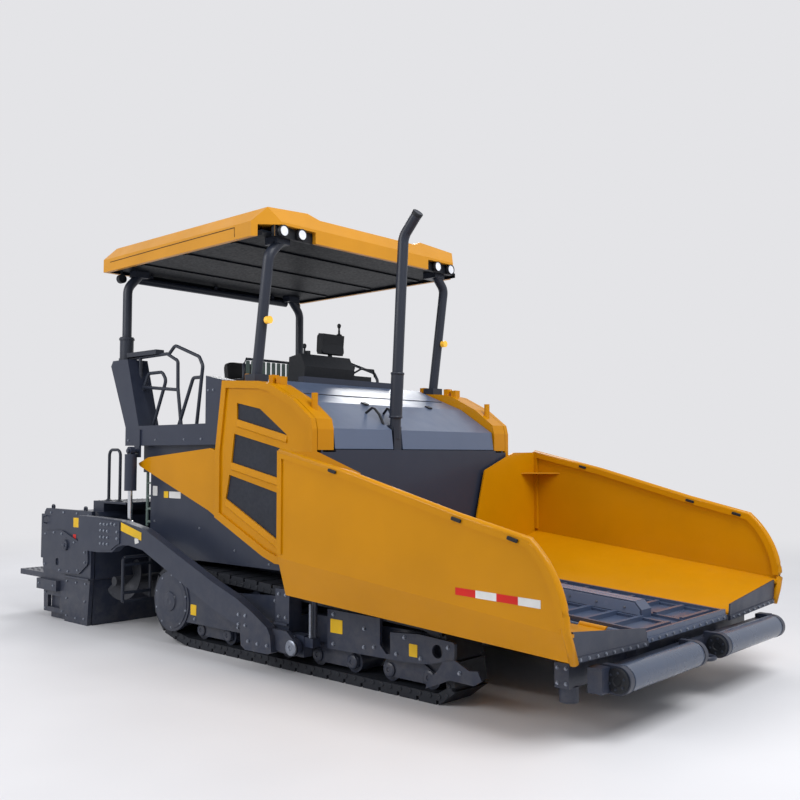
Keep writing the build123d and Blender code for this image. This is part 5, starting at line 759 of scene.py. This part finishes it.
# ---- tow arms
ARM_BOLTS = (
    *[(x, z) for x in (-1.715, -1.655, -1.595) for z in (1.02, 0.96, 0.9, 0.84)],
    (-1.53, 1.03), (-1.47, 1.025), (-1.43, 0.96), (-1.43, 0.9), (0.344, 0.417),
    (0.427, 0.417), (0.345, 0.342), (0.428, 0.343), (0.464, 0.227), (0.577, 0.221), (0.689, 0.221),
)
TOW_PIN = (0.935, 1.45, 0.235)
TOW_PIN_CAP = cap_profile(0.058, 0.01, 0.016, 0.048, 0.016, 0.008)
COLUMN_BOLTS = ((0.7, 0.6), (0.78, 0.6), (0.7, 0.43), (0.78, 0.43), (0.88, 0.3))
HEIGHT_ROD = ((1.055, 1.372, 0.315), (1.055, 1.372, 0.56))
HEIGHT_ROD_RADIUS = 0.011


def dress_tow_gear(side, sign):
    """Bolts on the tow arm, cap, bolts and rod on the tow column."""
    arm = zinc_bench(f"arm_bolts_{side}", "screed")
    arm.bolts(f"tow_arm_{side}", ARM_BOLTS, sign, size=0.012)
    arm.finish()
    column = zinc_bench(f"tow_pin_cap_{side}", "tractor")
    column.lathe(TOW_PIN_CAP, on_flank(*TOW_PIN, sign), 32)
    column.bolts(f"tow_column_{side}", COLUMN_BOLTS, sign, size=0.011)
    column.tube(mirrored(HEIGHT_ROD, sign), HEIGHT_ROD_RADIUS, 14)
    column.finish()


# ---- screed ends
GATE_BOLTS = (
    (-3.04, 0.85), (-3.04, 0.54), (-2.86, 0.87), (-2.7, 0.865), (-2.45, 0.795),
    (-2.24, 0.71), (-2.235, 0.61), (-2.37, 0.525), (-2.56, 0.5), (-2.73, 0.5),
    (-2.96, 1.07), (-2.7, 1.08), (-2.43, 1.08), (-2.21, 1.07), (-2.6, 0.4),
    (-2.6, 0.23), (-2.6, 0.06), (-2.24, 0.4), (-2.25, 0.23), (-2.26, 0.06),
    (-2.42, 0.4), (-2.42, 0.05), (-3.04, 0.25), (-3.04, 0.09), (-2.69, 0.09),
    (-3.1, 0.34), (-2.8, 0.34),
)
BOSS = (-2.614, 1.37, 0.759)
BOSS_BOLT_CIRCLE = 0.038
BOSS_CAP = (
    (0.05, -0.001), (0.05, 0.004), (0.044, 0.006), (0.022, 0.006), (0.018, 0.014), (0, 0.016),
)
GATE_GRIP_XS = (-3.05, -2.2)
GATE_GRIP = ((1.338, 0.955), (1.375, 0.965), (1.375, 1.025), (1.338, 1.035))  # y, z
GATE_GRIP_RADIUS = 0.007
GATE_EYES = ((-2.95, 1.32, 1.128), (-2.3, 1.32, 1.128))
EYE = ((0.028, -0.008), (0.028, 0.008), (0.014, 0.008), (0.014, -0.008), (0.028, -0.008))
# staggered bars: first x and y, steps in x and y, shift of every second row, rows, columns
WALKWAY_GRID = (-3.575, 0.06, 0.066, 0.053, 0.026, 8, 24)
WALKWAY_LEVELS = (0.43, 0.46)
WALKWAY_ABOVE = 0.6
WALKWAY_BAR = (0.03, 0.007, 0.003, 0.003)


def lay_tread(bench, node, grid, sign, above, levels, bar):
    """Raised bars in a staggered grid, where the node's upper face lies between the levels."""
    first_x, first_y, step_x, step_y, shift, rows, columns = grid
    for row in range(rows):
        for column in range(columns):
            x, y = first_x + row * step_x, first_y + column * step_y + (row % 2) * shift
            found = hit(node, (x, sign * y, above), DOWN)
            if found and levels[0] < found[0][2] < levels[1]:
                lean = math.radians(45 if (row + column) % 2 else -45)
                bench.slab(facing(*found, lean), *bar)


def dress_gate(side, sign):
    """Bolts, boss, grips and eyes of the end gate, tread on the walkway behind it."""
    body, node = f"extension_{side}", f"screed_extension_{side}"
    gate = zinc_bench(f"gate_bolts_{side}", body)
    gate.bolts(node, GATE_BOLTS, sign, size=0.01)
    gate.bolts(node, arc((BOSS[0], BOSS[2]), BOSS_BOLT_CIRCLE, 0, 315, 7), sign, size=0.006)
    gate.finish()
    fittings = Bench(f"gate_fittings_{side}", body, "paint_dark")
    fittings.lathe(BOSS_CAP, on_flank(*BOSS, sign), 32)
    for x in GATE_GRIP_XS:
        fittings.tube([(x, sign * y, z) for y, z in GATE_GRIP], GATE_GRIP_RADIUS, 8)
    for eye in GATE_EYES:
        fittings.lathe(EYE, on_flank(*eye, sign), 20)
    fittings.finish(soft=0.001)
    tread = Bench(f"walkway_tread_{side}", body, "paint_dark")
    lay_tread(tread, node, WALKWAY_GRID, sign, WALKWAY_ABOVE, WALKWAY_LEVELS, WALKWAY_BAR)
    tread.finish()


# ---- canopy
LAMP_YS = (0.89, 1.09)
LAMP_Z = 3.515
LAMP_BEZEL = ((0.049, -0.03), (0.05, 0.004), (0.045, 0.007), (0.0415, 0.003), (0.0405, -0.004))
ROOF_SEAM = ((-1.96, 3.552), (-1.0, 3.562), (0.005, 3.568), (0.005, 3.49))  # x, z
ROOF_SEAM_Y = 1.3002
ROOF_SEAM_RADIUS = 0.0035
POST_CLAMPS = ((-1.915, 1.13, 2.588), (-1.915, 1.13, 2.788))
POST_CLAMP = band_profile(0.0665, 0.074, 0.024)
RIB_XS = (-1.55, -0.85, -0.15)
RIB_HALF_WIDTH = 0.03
RIB_END_GAP = 0.06
RIB_TOP = 3.4895
RIB_DEPTH = 0.012
# dark lip inside the roof's rim, broken by the lamp recesses
LIP_DEPTH = 0.004
LIP_MARGIN = 0.001
RECESS_REAR_X = 0.315
RECESS_INNER_Y = 0.74


def dress_canopy_side(side, sign):
    """Lamp bezels, roof seam and post clamps."""
    bezel = Bench(f"lamp_bezels_{side}", "tractor", "plastic_black")
    for y in LAMP_YS:
        found = from_front("roof_lamps", sign * y, LAMP_Z)
        if found:
            bezel.lathe(LAMP_BEZEL, facing(found[0], (1, 0, 0)), 36)
    bezel.finish(smooth=True)
    seam = Bench(f"roof_seams_{side}", "tractor", "roof_yellow", MATERIALS["seam_dark"])
    seam.tube([(x, sign * ROOF_SEAM_Y, z) for x, z in ROOF_SEAM], ROOF_SEAM_RADIUS, 6)
    seam.finish()
    clamps = Bench(f"post_clamps_{side}", "tractor", "tube_dark")
    for point in mirrored(POST_CLAMPS, sign):
        clamps.lathe(POST_CLAMP, facing(point, UP), 32)
    clamps.finish()


def dress_lining():
    """Cross ribs under the roof's lining, and the dark lip round it."""
    low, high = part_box("canopy_lining")
    ribs = Bench("lining_ribs", "tractor", "roof_lining")
    right, left = low[1] + RIB_END_GAP, high[1] - RIB_END_GAP
    for x in RIB_XS:
        rear, front = x - RIB_HALF_WIDTH, x + RIB_HALF_WIDTH
        corners = [(rear, right), (front, right), (front, left), (rear, left)]
        ribs.prism([(*corner, RIB_TOP) for corner in corners], (0, 0, -RIB_DEPTH))
    ribs.finish(soft=0.004)
    lip = Bench("lining_lip", "tractor", "roof_lining")
    bottom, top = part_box("canopy_roof")[0][2] + LIP_MARGIN, low[2] + LIP_MARGIN
    runs = (
        ((low[0], low[1]), (low[0], high[1]), (LIP_DEPTH, 0, 0)),
        ((high[0], -RECESS_INNER_Y), (high[0], RECESS_INNER_Y), (-LIP_DEPTH, 0, 0)),
        ((low[0], low[1]), (RECESS_REAR_X, low[1]), (0, LIP_DEPTH, 0)),
        ((low[0], high[1]), (RECESS_REAR_X, high[1]), (0, -LIP_DEPTH, 0)),
    )
    for start, end, inward in runs:
        lip.prism([(*start, bottom), (*end, bottom), (*end, top), (*start, top)], inward)
    lip.finish()


# ---- exhaust and hood
STACK_FOOT = Vector((0.915, -0.3, 1.8))
STACK_BEND = Vector((1.014, -0.3, 3.505))
STACK_TIP = Vector((1.18, -0.3, 3.685))
STACK_CLAMP = band_profile(0.0545, 0.058, 0.02)
STACK_CLAMP_SHARES = (0.1, 0.315)  # shares of the straight pipe
STACK_MOUTH = (
    (0.0465, -0.03), (0.048, 0.0), (0.044, 0.003), (0.04, -0.002), (0.036, -0.001), (0, -0.0005),
)
HOOD_SEAM = row_of((0.36, -0.98), (0.36, 0.98), 29)  # x, y
HOOD_SEAM_LIFT = 0.0015
HOOD_SEAM_RADIUS = 0.004
HOOD_LOWEST_SEAM = 1.9
STRUT_XS = (0.7, 0.86)  # rear foot, front foot
STRUT_SPREADS = (-0.13, 0.09)  # rear foot's distance from the stack, in y
STRUT_TAPER = 0.6
STRUT_RISE = 0.085
STRUT_SHOULDER = 0.02
STRUT_RADIUS = 0.011
HOOD_PADS = ((0.56, -0.3), (0.56, 0.55))
HOOD_PAD = (0.06, 0.06, 0.012, 0.01)


def dress_stack():
    """Clamp bands and open mouth of the exhaust."""
    clamps = Bench("exhaust_clamps", "tractor", "tube_dark")
    along = (STACK_BEND - STACK_FOOT).normalized()
    for share in STACK_CLAMP_SHARES:
        clamps.lathe(STACK_CLAMP, facing(STACK_FOOT.lerp(STACK_BEND, share), along), 32)
    clamps.finish(smooth=True)
    mouth = Bench("exhaust_mouth", "tractor", "plastic_black")
    along = (STACK_TIP - STACK_BEND).normalized()
    mouth.lathe(STACK_MOUTH, facing(STACK_TIP, along), 32)
    mouth.finish(smooth=True)


def dress_hood():
    """Seam across the hood, and the two bowed rods that steady the exhaust."""
    seam = Bench("hood_seams", "tractor", "paint_grey", MATERIALS["seam_dark"])
    line = [on_top("hood", x, y) for x, y in HOOD_SEAM]
    lift = Vector((0, 0, HOOD_SEAM_LIFT))
    line = [found[0] + lift for found in line if found and found[0][2] > HOOD_LOWEST_SEAM]
    seam.tube(line, HOOD_SEAM_RADIUS, 6)
    seam.finish()
    bracket = Bench("exhaust_bracket", "tractor", "plastic_black")
    shoulder = Vector((0, 0, STRUT_SHOULDER))
    for spread in STRUT_SPREADS:
        rear = on_top("hood", STRUT_XS[0], STACK_FOOT[1] + spread)
        front = on_top("hood", STRUT_XS[1], STACK_FOOT[1] + spread * STRUT_TAPER)
        if rear and front:
            start, end = rear[0], front[0]
            crown = (start + end) / 2 + Vector((0, 0, STRUT_RISE))
            first, second = start.lerp(crown, 0.7) + shoulder, end.lerp(crown, 0.5) + shoulder
            bracket.tube([start, first, crown, second, end], STRUT_RADIUS)
    for x, y in HOOD_PADS:
        found = on_top("hood", x, y)
        if found:
            bracket.slab(facing(*found), *HOOD_PAD)
    bracket.finish(soft=0.001)


# ---- side doors
# lower edges of the door's windows (x, z), each with a raised sill below it
WINDOW_SILLS = (
    ((0.006, 1.958), (0.64, 1.816)),
    ((-0.064, 1.599), (0.856, 1.411)),
    ((-0.136, 1.294), (0.503, 1.0), (0.806, 0.882)),
)
DOOR_FACE_Y = 1.2518
SILL_DROP = 0.052
SILL_PROUD = 0.013
SILL_FOOT = 1.3  # share of the drop that its foot reaches
LATCHES = ((0.895, 1.52), (0.895, 1.02))
LATCH_CUP = (0.042, 0.095, 0.008, 0.01)
LATCH_PADDLE = (0.02, 0.055, 0.008, 0.007)
LATCH_OFFSET = (0, -0.01, 0.007)
SHELL_BOLTS = ((-1.3, 1.05), (-1.3, 0.8), (-0.6, 1.02), (-0.1, 0.86), (0.35, 0.78))
PLATFORM_BOLTS = (
    (-1.66, 1.8), (-1.2, 1.8), (-0.75, 1.8), (-0.5, 1.8), (-0.4, 2.22), (-0.33, 2.22),
)


def dress_door(side, sign):
    """Window sills and latches of a side door, bolts on the panels beside it."""
    sills = Bench(f"window_sills_{side}", f"side_door_{side}", "paint_yellow")
    face = sign * DOOR_FACE_Y
    for line in WINDOW_SILLS:
        for (x0, z0), (x1, z1) in zip(line, line[1:]):
            section = [
                (x0, face, z0),
                (x0, face + sign * SILL_PROUD, z0 - SILL_DROP),
                (x0, face, z0 - SILL_DROP * SILL_FOOT),
            ]
            sills.prism(section, (x1 - x0, 0, z1 - z0))
    sills.finish(soft=0.002)
    latches = Bench(f"door_latches_{side}", f"side_door_{side}", "plastic_black")
    for x, z in LATCHES:
        found = from_side(f"side_door_{side}", x, z, sign)
        if found:
            place = facing(*found)
            latches.slab(place, *LATCH_CUP)
            latches.slab(place @ Matrix.Translation(LATCH_OFFSET), *LATCH_PADDLE)
    latches.finish(soft=0.001)
    bolts = Bench(f"side_bolts_{side}", "tractor", "paint_dark", MATERIALS["bolt_zinc"])
    bolts.bolts("body_shell", SHELL_BOLTS, sign, size=0.009)
    bolts.bolts("platform", PLATFORM_BOLTS, sign, size=0.009)
    bolts.finish()


# ---- seats
SEATS = (("near", -0.03, True), ("far", 0.76, False))  # name, y, back upright
# padded blocks: x from, x to, half width, z from, z to
SEAT_PAN = (-1.435, -1.045, 0.235, 2.15, 2.248)
SEAT_BACK = (-1.475, -1.385, 0.245, 2.262, 2.618)
FOLDED_BACK = (-1.445, -1.095, 0.225, 2.262, 2.352)
SEAT_ARM = (-1.398, -1.062, 0.034, 2.382, 2.424)
BACK_HINGE = (-1.43, 2.262)  # x, z
BACK_LEAN = math.radians(-7)
PEDESTAL_X = -1.24
PEDESTAL_PLATES = ((1.9365, 0.24, 0.225), (2.1, 0.272, 0.255), (2.13, 0.304, 0.285))
PEDESTAL_PLATE = (0.03, 0.02)  # depth, corner
BELLOWS = [(0.095 + 0.012 * (fold % 2), 1.96 + 0.0145 * fold) for fold in range(11)]
SEAT_ARM_Y = 0.29
ARM_POST_X = -1.355
ARM_POST = ((0.2, 2.165), (SEAT_ARM_Y, 2.175), (SEAT_ARM_Y, 2.385))  # from the seat's middle, z
ARM_POST_RADIUS = 0.014
CUSHION_CUTS = 9
CUSHION_FLAT = 0.7  # beyond this share of the half size a corner rounds off
CUSHION_ROUND = 0.09
CUSHION_SKIN = 0.98  # beyond this share a point lies on the skin
CUSHION_PULL = 0.035  # how far the sides pull in between the corners
CHANNEL_DEPTH = 0.22
CHANNEL_SHARPNESS = 3.0


def cushion_point(co, thin, crown, channels):
    """Where a point of a cube of half size 1 goes on a crowned, sewn pad, still at that size."""
    across, along = [axis for axis in range(3) if axis != thin]
    place, round_off = co.copy(), 1.0
    for a, b in ((0, 1), (1, 2), (0, 2)):
        past = [max(0.0, abs(co[axis]) - CUSHION_FLAT) for axis in (a, b)]
        round_off -= CUSHION_ROUND * past[0] * past[1] / (1 - CUSHION_FLAT) ** 2
    full = (1 - co[across] ** 2) * (1 - co[along] ** 2)
    for axis, other in ((across, along), (along, across)):
        if abs(co[axis]) > CUSHION_SKIN:
            place[axis] *= 1 - CUSHION_PULL * (1 - place[other] ** 2)
    if abs(co[thin]) > CUSHION_SKIN:
        sewn = 0.0
        if channels:
            wave = abs(math.sin(math.pi * channels * (co[along] + 1) / 2))
            sewn = CHANNEL_DEPTH * (1 - min(1.0, wave * CHANNEL_SHARPNESS))
        place[thin] *= 1 - crown * (1 - full) - sewn * full
    return place * round_off


def cushion(name, block, y, crown, channels=0):
    """Padded block round the seat's middle y: crowned, sides drawn in between the corners."""
    x0, x1, half_width, z0, z1 = block
    low, high = Vector((x0, y - half_width, z0)), Vector((x1, y + half_width, z1))
    middle, half = (low + high) / 2, (high - low) / 2
    thin = min(range(3), key=lambda axis: half[axis])
    pad = Bench(name, "tractor", "seat_black")
    mesh = pad.mesh
    bmesh.ops.create_cube(mesh, size=2.0)
    bmesh.ops.subdivide_edges(mesh, edges=mesh.edges[:], cuts=CUSHION_CUTS, use_grid_fill=True)
    for vertex in mesh.verts:
        vertex.co = cushion_point(vertex.co, thin, crown, channels) * half + middle
    piece = pad.finish(smooth=True, subdivide=1)
    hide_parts("seats")
    return piece


def dress_seat(name, y, upright):
    """Pan, back, arm rests and pedestal of a seat."""
    cushion(f"seat_cushion_{name}", SEAT_PAN, y, 0.3, channels=4)
    if upright:
        back = cushion(f"seat_back_{name}", SEAT_BACK, y, 0.28, channels=4)
        pivot = Matrix.Translation((BACK_HINGE[0], y, BACK_HINGE[1]))
        back.data.transform(pivot @ Matrix.Rotation(BACK_LEAN, 4, "Y") @ pivot.inverted())
    else:
        cushion(f"seat_back_{name}", FOLDED_BACK, y, 0.28, channels=3)
    for hand, edge in (("right", -1), ("left", 1)):
        cushion(f"seat_arm_{name}_{hand}", SEAT_ARM, y + edge * SEAT_ARM_Y, 0.25)
    base = Bench(f"seat_base_{name}", "tractor", "plastic_black")
    for level, width, length in PEDESTAL_PLATES:
        base.slab(facing((PEDESTAL_X, y, level), UP), width, length, *PEDESTAL_PLATE)
    base.lathe(BELLOWS, Matrix.Translation((PEDESTAL_X, y, 0)), 28)
    for edge in (-1, 1):
        post = [(ARM_POST_X, y + edge * reach, z) for reach, z in ARM_POST]
        base.tube(post, ARM_POST_RADIUS)
    piece = base.finish(soft=0.002)
    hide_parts("seats")


# ---- console and operator's floor
SCREEN_Y = 0.2575
# parts of the screen: point, direction it faces, size
SCREEN_HOOD = ((-0.452, SCREEN_Y, 2.753), (1, 0, 0.1), (0.3, 0.205, 0.022, 0.035))
SCREEN_FRAME = ((-0.498, SCREEN_Y, 2.755), (-1, 0, 0.05), (0.29, 0.198, 0.014, 0.03))
SCREEN_GLASS = ((-0.514, SCREEN_Y, 2.757), (-1, 0, 0.05), (0.24, 0.15, 0.003, 0.012))
KNOB = ((0.011, -0.001), (0.011, 0.01), (0.008, 0.013), (0, 0.013))
KNOB_EYE = (-0.7, 2.62)  # x, z that the rows of knobs are seen from
KNOB_DIRECTIONS = ((0.3, 0, -0.45), (0.3, 0, -0.8), (0.3, 0, -1.15))
KNOB_YS = ((-0.16,), (0.36,))  # ends of a row
LEVER = (
    (0.03, -0.001), (0.026, 0.01), (0.012, 0.016), (0.009, 0.07), (0.018, 0.085),
    (0.02, 0.105), (0.01, 0.118), (0, 0.12),
)
LEVER_X = -0.45
LEVER_YS = (-0.1, 0.36, 0.56)
CONSOLE_RAIL_RADIUS = 0.01
CONSOLE_RAIL = ((-0.36, 0.44, 2.46), (-0.3, 0.52, 2.52), (-0.3, 0.7, 2.52), (-0.36, 0.78, 2.46))
REST_X = -1.085
REST_HOOP = (
    (REST_X, -0.335, 2.26), (REST_X, -0.335, 2.56), (REST_X, -0.3, 2.615),
    (REST_X, 0.24, 2.615), (REST_X, 0.28, 2.56), (REST_X, 0.28, 2.26),
)
REST_BARS = (  # points, radius, sides
    (REST_HOOP, 0.014, 10),
    (((REST_X, -0.335, 2.4), (REST_X, 0.28, 2.4)), 0.01, 8),
    ((REST_HOOP[0], (-1.3, -0.3, 2.18)), 0.012, 8),
    ((REST_HOOP[-1], (-1.3, 0.24, 2.18)), 0.012, 8),
)
SLATS = ((-1.078, -0.29, 2.505), (-1.078, 0.238, 2.505))  # first and last
SLAT = (0.046, 0.185, 0.008, 0.01)
FLOOR_GRID = (-0.98, -1.02, 0.06, 0.062, 0.031, 16, 34)
FLOOR_LEVELS = (1.933, 1.937)
FLOOR_ABOVE = 2.1
FLOOR_BAR = (0.032, 0.008, 0.003, 0.003)


def dress_console():
    """Screen, knobs, levers and rail of the control console."""
    panel = Bench("console_fittings", "tractor", "plastic_black")
    for point, direction, size in (SCREEN_HOOD, SCREEN_FRAME):
        panel.slab(facing(point, direction), *size)
    for direction in KNOB_DIRECTIONS:
        for (y,) in row_of(*KNOB_YS, 9):
            found = hit("control_console", (KNOB_EYE[0], y, KNOB_EYE[1]), direction)
            if found:
                panel.lathe(KNOB, facing(*found), 12)
    for y in LEVER_YS:
        found = on_top("control_console", LEVER_X, y)
        if found:
            panel.lathe(LEVER, Matrix.Translation((found[0][0], y, found[0][2])), 20)
    panel.tube(CONSOLE_RAIL, CONSOLE_RAIL_RADIUS)
    panel.finish(soft=0.001)
    glass = Bench("console_display", "tractor", "plastic_black", MATERIALS["display"])
    point, direction, size = SCREEN_GLASS
    glass.slab(facing(point, direction), *size)
    glass.finish()


def dress_rest():
    """Hooped rest with pale slats behind the console."""
    hoop = Bench("back_rest_hoop", "tractor", "tube_dark")
    for points, radius, sides in REST_BARS:
        hoop.tube(points, radius, sides)
    hoop.finish(smooth=True)
    slats = Bench("back_rest_slats", "tractor", "rail_pale")
    for point in row_of(*SLATS, 9):
        slats.slab(facing(point, (1, 0, 0)), *SLAT)
    slats.finish(soft=0.001)


def dress_floor():
    """Tread bars on the operator's floor."""
    tread = Bench("floor_tread", "tractor", "paint_dark")
    lay_tread(tread, "platform", FLOOR_GRID, 1, FLOOR_ABOVE, FLOOR_LEVELS, FLOOR_BAR)
    tread.finish()


# ---- screed top
STEP_LEVEL = 1.2048
HOOP_FEET = ((-2.25, 0.48), (-2.25, 1.1), (-2.045, 0.48), (-2.045, 1.1))
HOOP_FOOT = ((0.036, 0), (0.036, 0.008), (0.026, 0.012), (0.0155, 0.022))
STUD = ((0.011, 0), (0.01, 0.003), (0, 0.004))
STUD_START = (-2.36, 0.335)
STUD_STEP = 0.062
STUD_ROWS = 9
STUD_COLUMNS = 14
STUDLESS_ROWS = (1, 2, 5, 6)  # rows and columns where the hoops' feet stand
STUDLESS_COLUMNS = (2, 12)


def dress_screed_top(side, sign):
    """Feet of the guard hoops and grip studs on the walk-over step."""
    feet = Bench(f"screed_rail_feet_{side}", "screed", "tube_dark")
    for x, y in HOOP_FEET:
        feet.lathe(HOOP_FOOT, Matrix.Translation((x, sign * y, STEP_LEVEL)), 20)
    for row in range(STUD_ROWS):
        for column in range(STUD_COLUMNS):
            if row in STUDLESS_ROWS and column in STUDLESS_COLUMNS:
                continue
            x, y = STUD_START[0] + row * STUD_STEP, STUD_START[1] + column * STUD_STEP
            feet.lathe(STUD, Matrix.Translation((x, sign * y, STEP_LEVEL)), 8)
    feet.finish()


def dress_sides(*dressings):
    """Runs each dressing function on the left, then on the right side."""
    for dress in dressings:
        for side, sign in SIDES:
            dress(side, sign)


dress_sides(dress_track, dress_plates, dress_wing)
dress_front()
dress_sides(dress_push_roller, dress_guard, dress_tow_gear, dress_gate, dress_canopy_side)
dress_lining()
dress_stack()
dress_hood()
dress_sides(dress_door)
for seat in SEATS:
    dress_seat(*seat)
dress_console()
dress_rest()
dress_floor()
dress_sides(dress_screed_top)


# ---- floor, light and camera
BACKDROP = linear((228, 228, 231))
FLOOR_TONES = (linear((212, 212, 215)), linear((222, 222, 225)))
FLOOR_RADIUS = 60.0
FLOOR_FADE = (4.5, 14.0)  # distances between which the floor takes the backdrop's colour
SKY_COLOUR = (0.93, 0.95, 1.0, 1)
SKY_STRENGTH = 0.55


def pale_rays(tree):
    """1 for the rays that see the pale backdrop: camera, glossy and transmitted rays."""
    rays = tree.nodes.new("ShaderNodeLightPath")
    seen = rays.outputs["Is Camera Ray"]
    for kind in ("Is Glossy Ray", "Is Transmission Ray"):
        seen = add_node(tree, "Math", "Value", {0: seen, 1: rays.outputs[kind]}, "MAXIMUM")
    return seen


def show(tree, share, plain, pale, surface):
    """Links a mix of two shaders, by the share of the pale one, to the surface."""
    mix = add_node(tree, "MixShader", "Shader", {"Fac": share, 1: plain, 2: pale})
    tree.links.new(mix, surface)


def floor():
    """Pale floor that fades into the backdrop's colour away from the machine."""
    shape = bmesh.new()
    bmesh.ops.create_circle(shape, cap_ends=True, segments=96, radius=FLOOR_RADIUS)
    mesh = bpy.data.meshes.new("floor")
    shape.to_mesh(mesh)
    shape.free()
    plane = linked("floor", mesh)
    finish = Finish("floor_paint", 0.55)
    finish.colour(finish.blend(finish.spread(finish.noise(0.35, 3)), *FLOOR_TONES))
    glow = finish.add("Emission", "Emission", {"Color": (*BACKDROP, 1)})
    reach = finish.add("VectorMath", "Value", {0: finish.place}, "LENGTH")
    fade = finish.spread(reach, *FLOOR_FADE)
    fade.node.interpolation_type = "SMOOTHERSTEP"
    seen = finish.multiply(pale_rays(finish.tree), fade)
    surface = finish.tree.nodes["Material Output"].inputs["Surface"]
    show(finish.tree, seen, finish.shader.outputs["BSDF"], glow, surface)
    mesh.materials.append(finish.material)


def world():
    """Soft studio sky; camera, glossy and transmitted rays see the pale backdrop."""
    sky = bpy.data.worlds.new("studio")
    bpy.context.scene.world = sky
    sky.use_nodes = True
    tree = sky.node_tree
    background = tree.nodes["Background"]
    background.inputs["Color"].default_value = SKY_COLOUR
    background.inputs["Strength"].default_value = SKY_STRENGTH
    backdrop = add_node(tree, "Background", "Background", {"Color": (*BACKDROP, 1)})
    surface = tree.nodes["World Output"].inputs["Surface"]
    show(tree, pale_rays(tree), background.outputs["Background"], backdrop, surface)


# soft lamps: name, place, target, width, height, watts
LAMPS = (
    ("key", (7.0, -1.0, 9.5), (0.5, 0.0, 1.0), 6.0, 6.0, 800.0),
    ("side", (-2.5, -9.5, 6.0), (0.0, 0.0, 1.2), 7.0, 4.0, 420.0),
    ("rear", (-7.0, 6.0, 7.5), (0.0, 0.0, 1.5), 6.0, 5.0, 520.0),
)


def lamps():
    for name, place, target, width, height, watts in LAMPS:
        data = bpy.data.lights.new(name, "AREA")
        data.shape = "RECTANGLE"
        data.size, data.size_y, data.energy = width, height, watts
        lamp = linked(name, data)
        lamp.location = place
        lamp.rotation_euler = (Vector(target) - Vector(place)).to_track_quat("-Z", "Y").to_euler()


CAMERA_PLACE = (6.238, -6.081, 1.655)
CAMERA_AZIMUTH = math.radians(42.315)
CAMERA_RISE = math.radians(3.423)
CAMERA_LENS = 41.946


def camera():
    data = bpy.data.cameras.new("camera")
    data.lens = CAMERA_LENS
    data.sensor_width = 36.0
    data.clip_end = 300.0
    eye = linked("camera", data)
    level = math.cos(CAMERA_RISE)
    ahead = Vector(
        (-math.sin(CAMERA_AZIMUTH) * level, math.cos(CAMERA_AZIMUTH) * level, math.sin(CAMERA_RISE))
    )
    eye.location = CAMERA_PLACE
    eye.rotation_euler = ahead.to_track_quat("-Z", "Y").to_euler()
    bpy.context.scene.camera = eye


floor()
world()
lamps()
camera()
bpy.context.scene.view_settings.view_transform = "Standard"
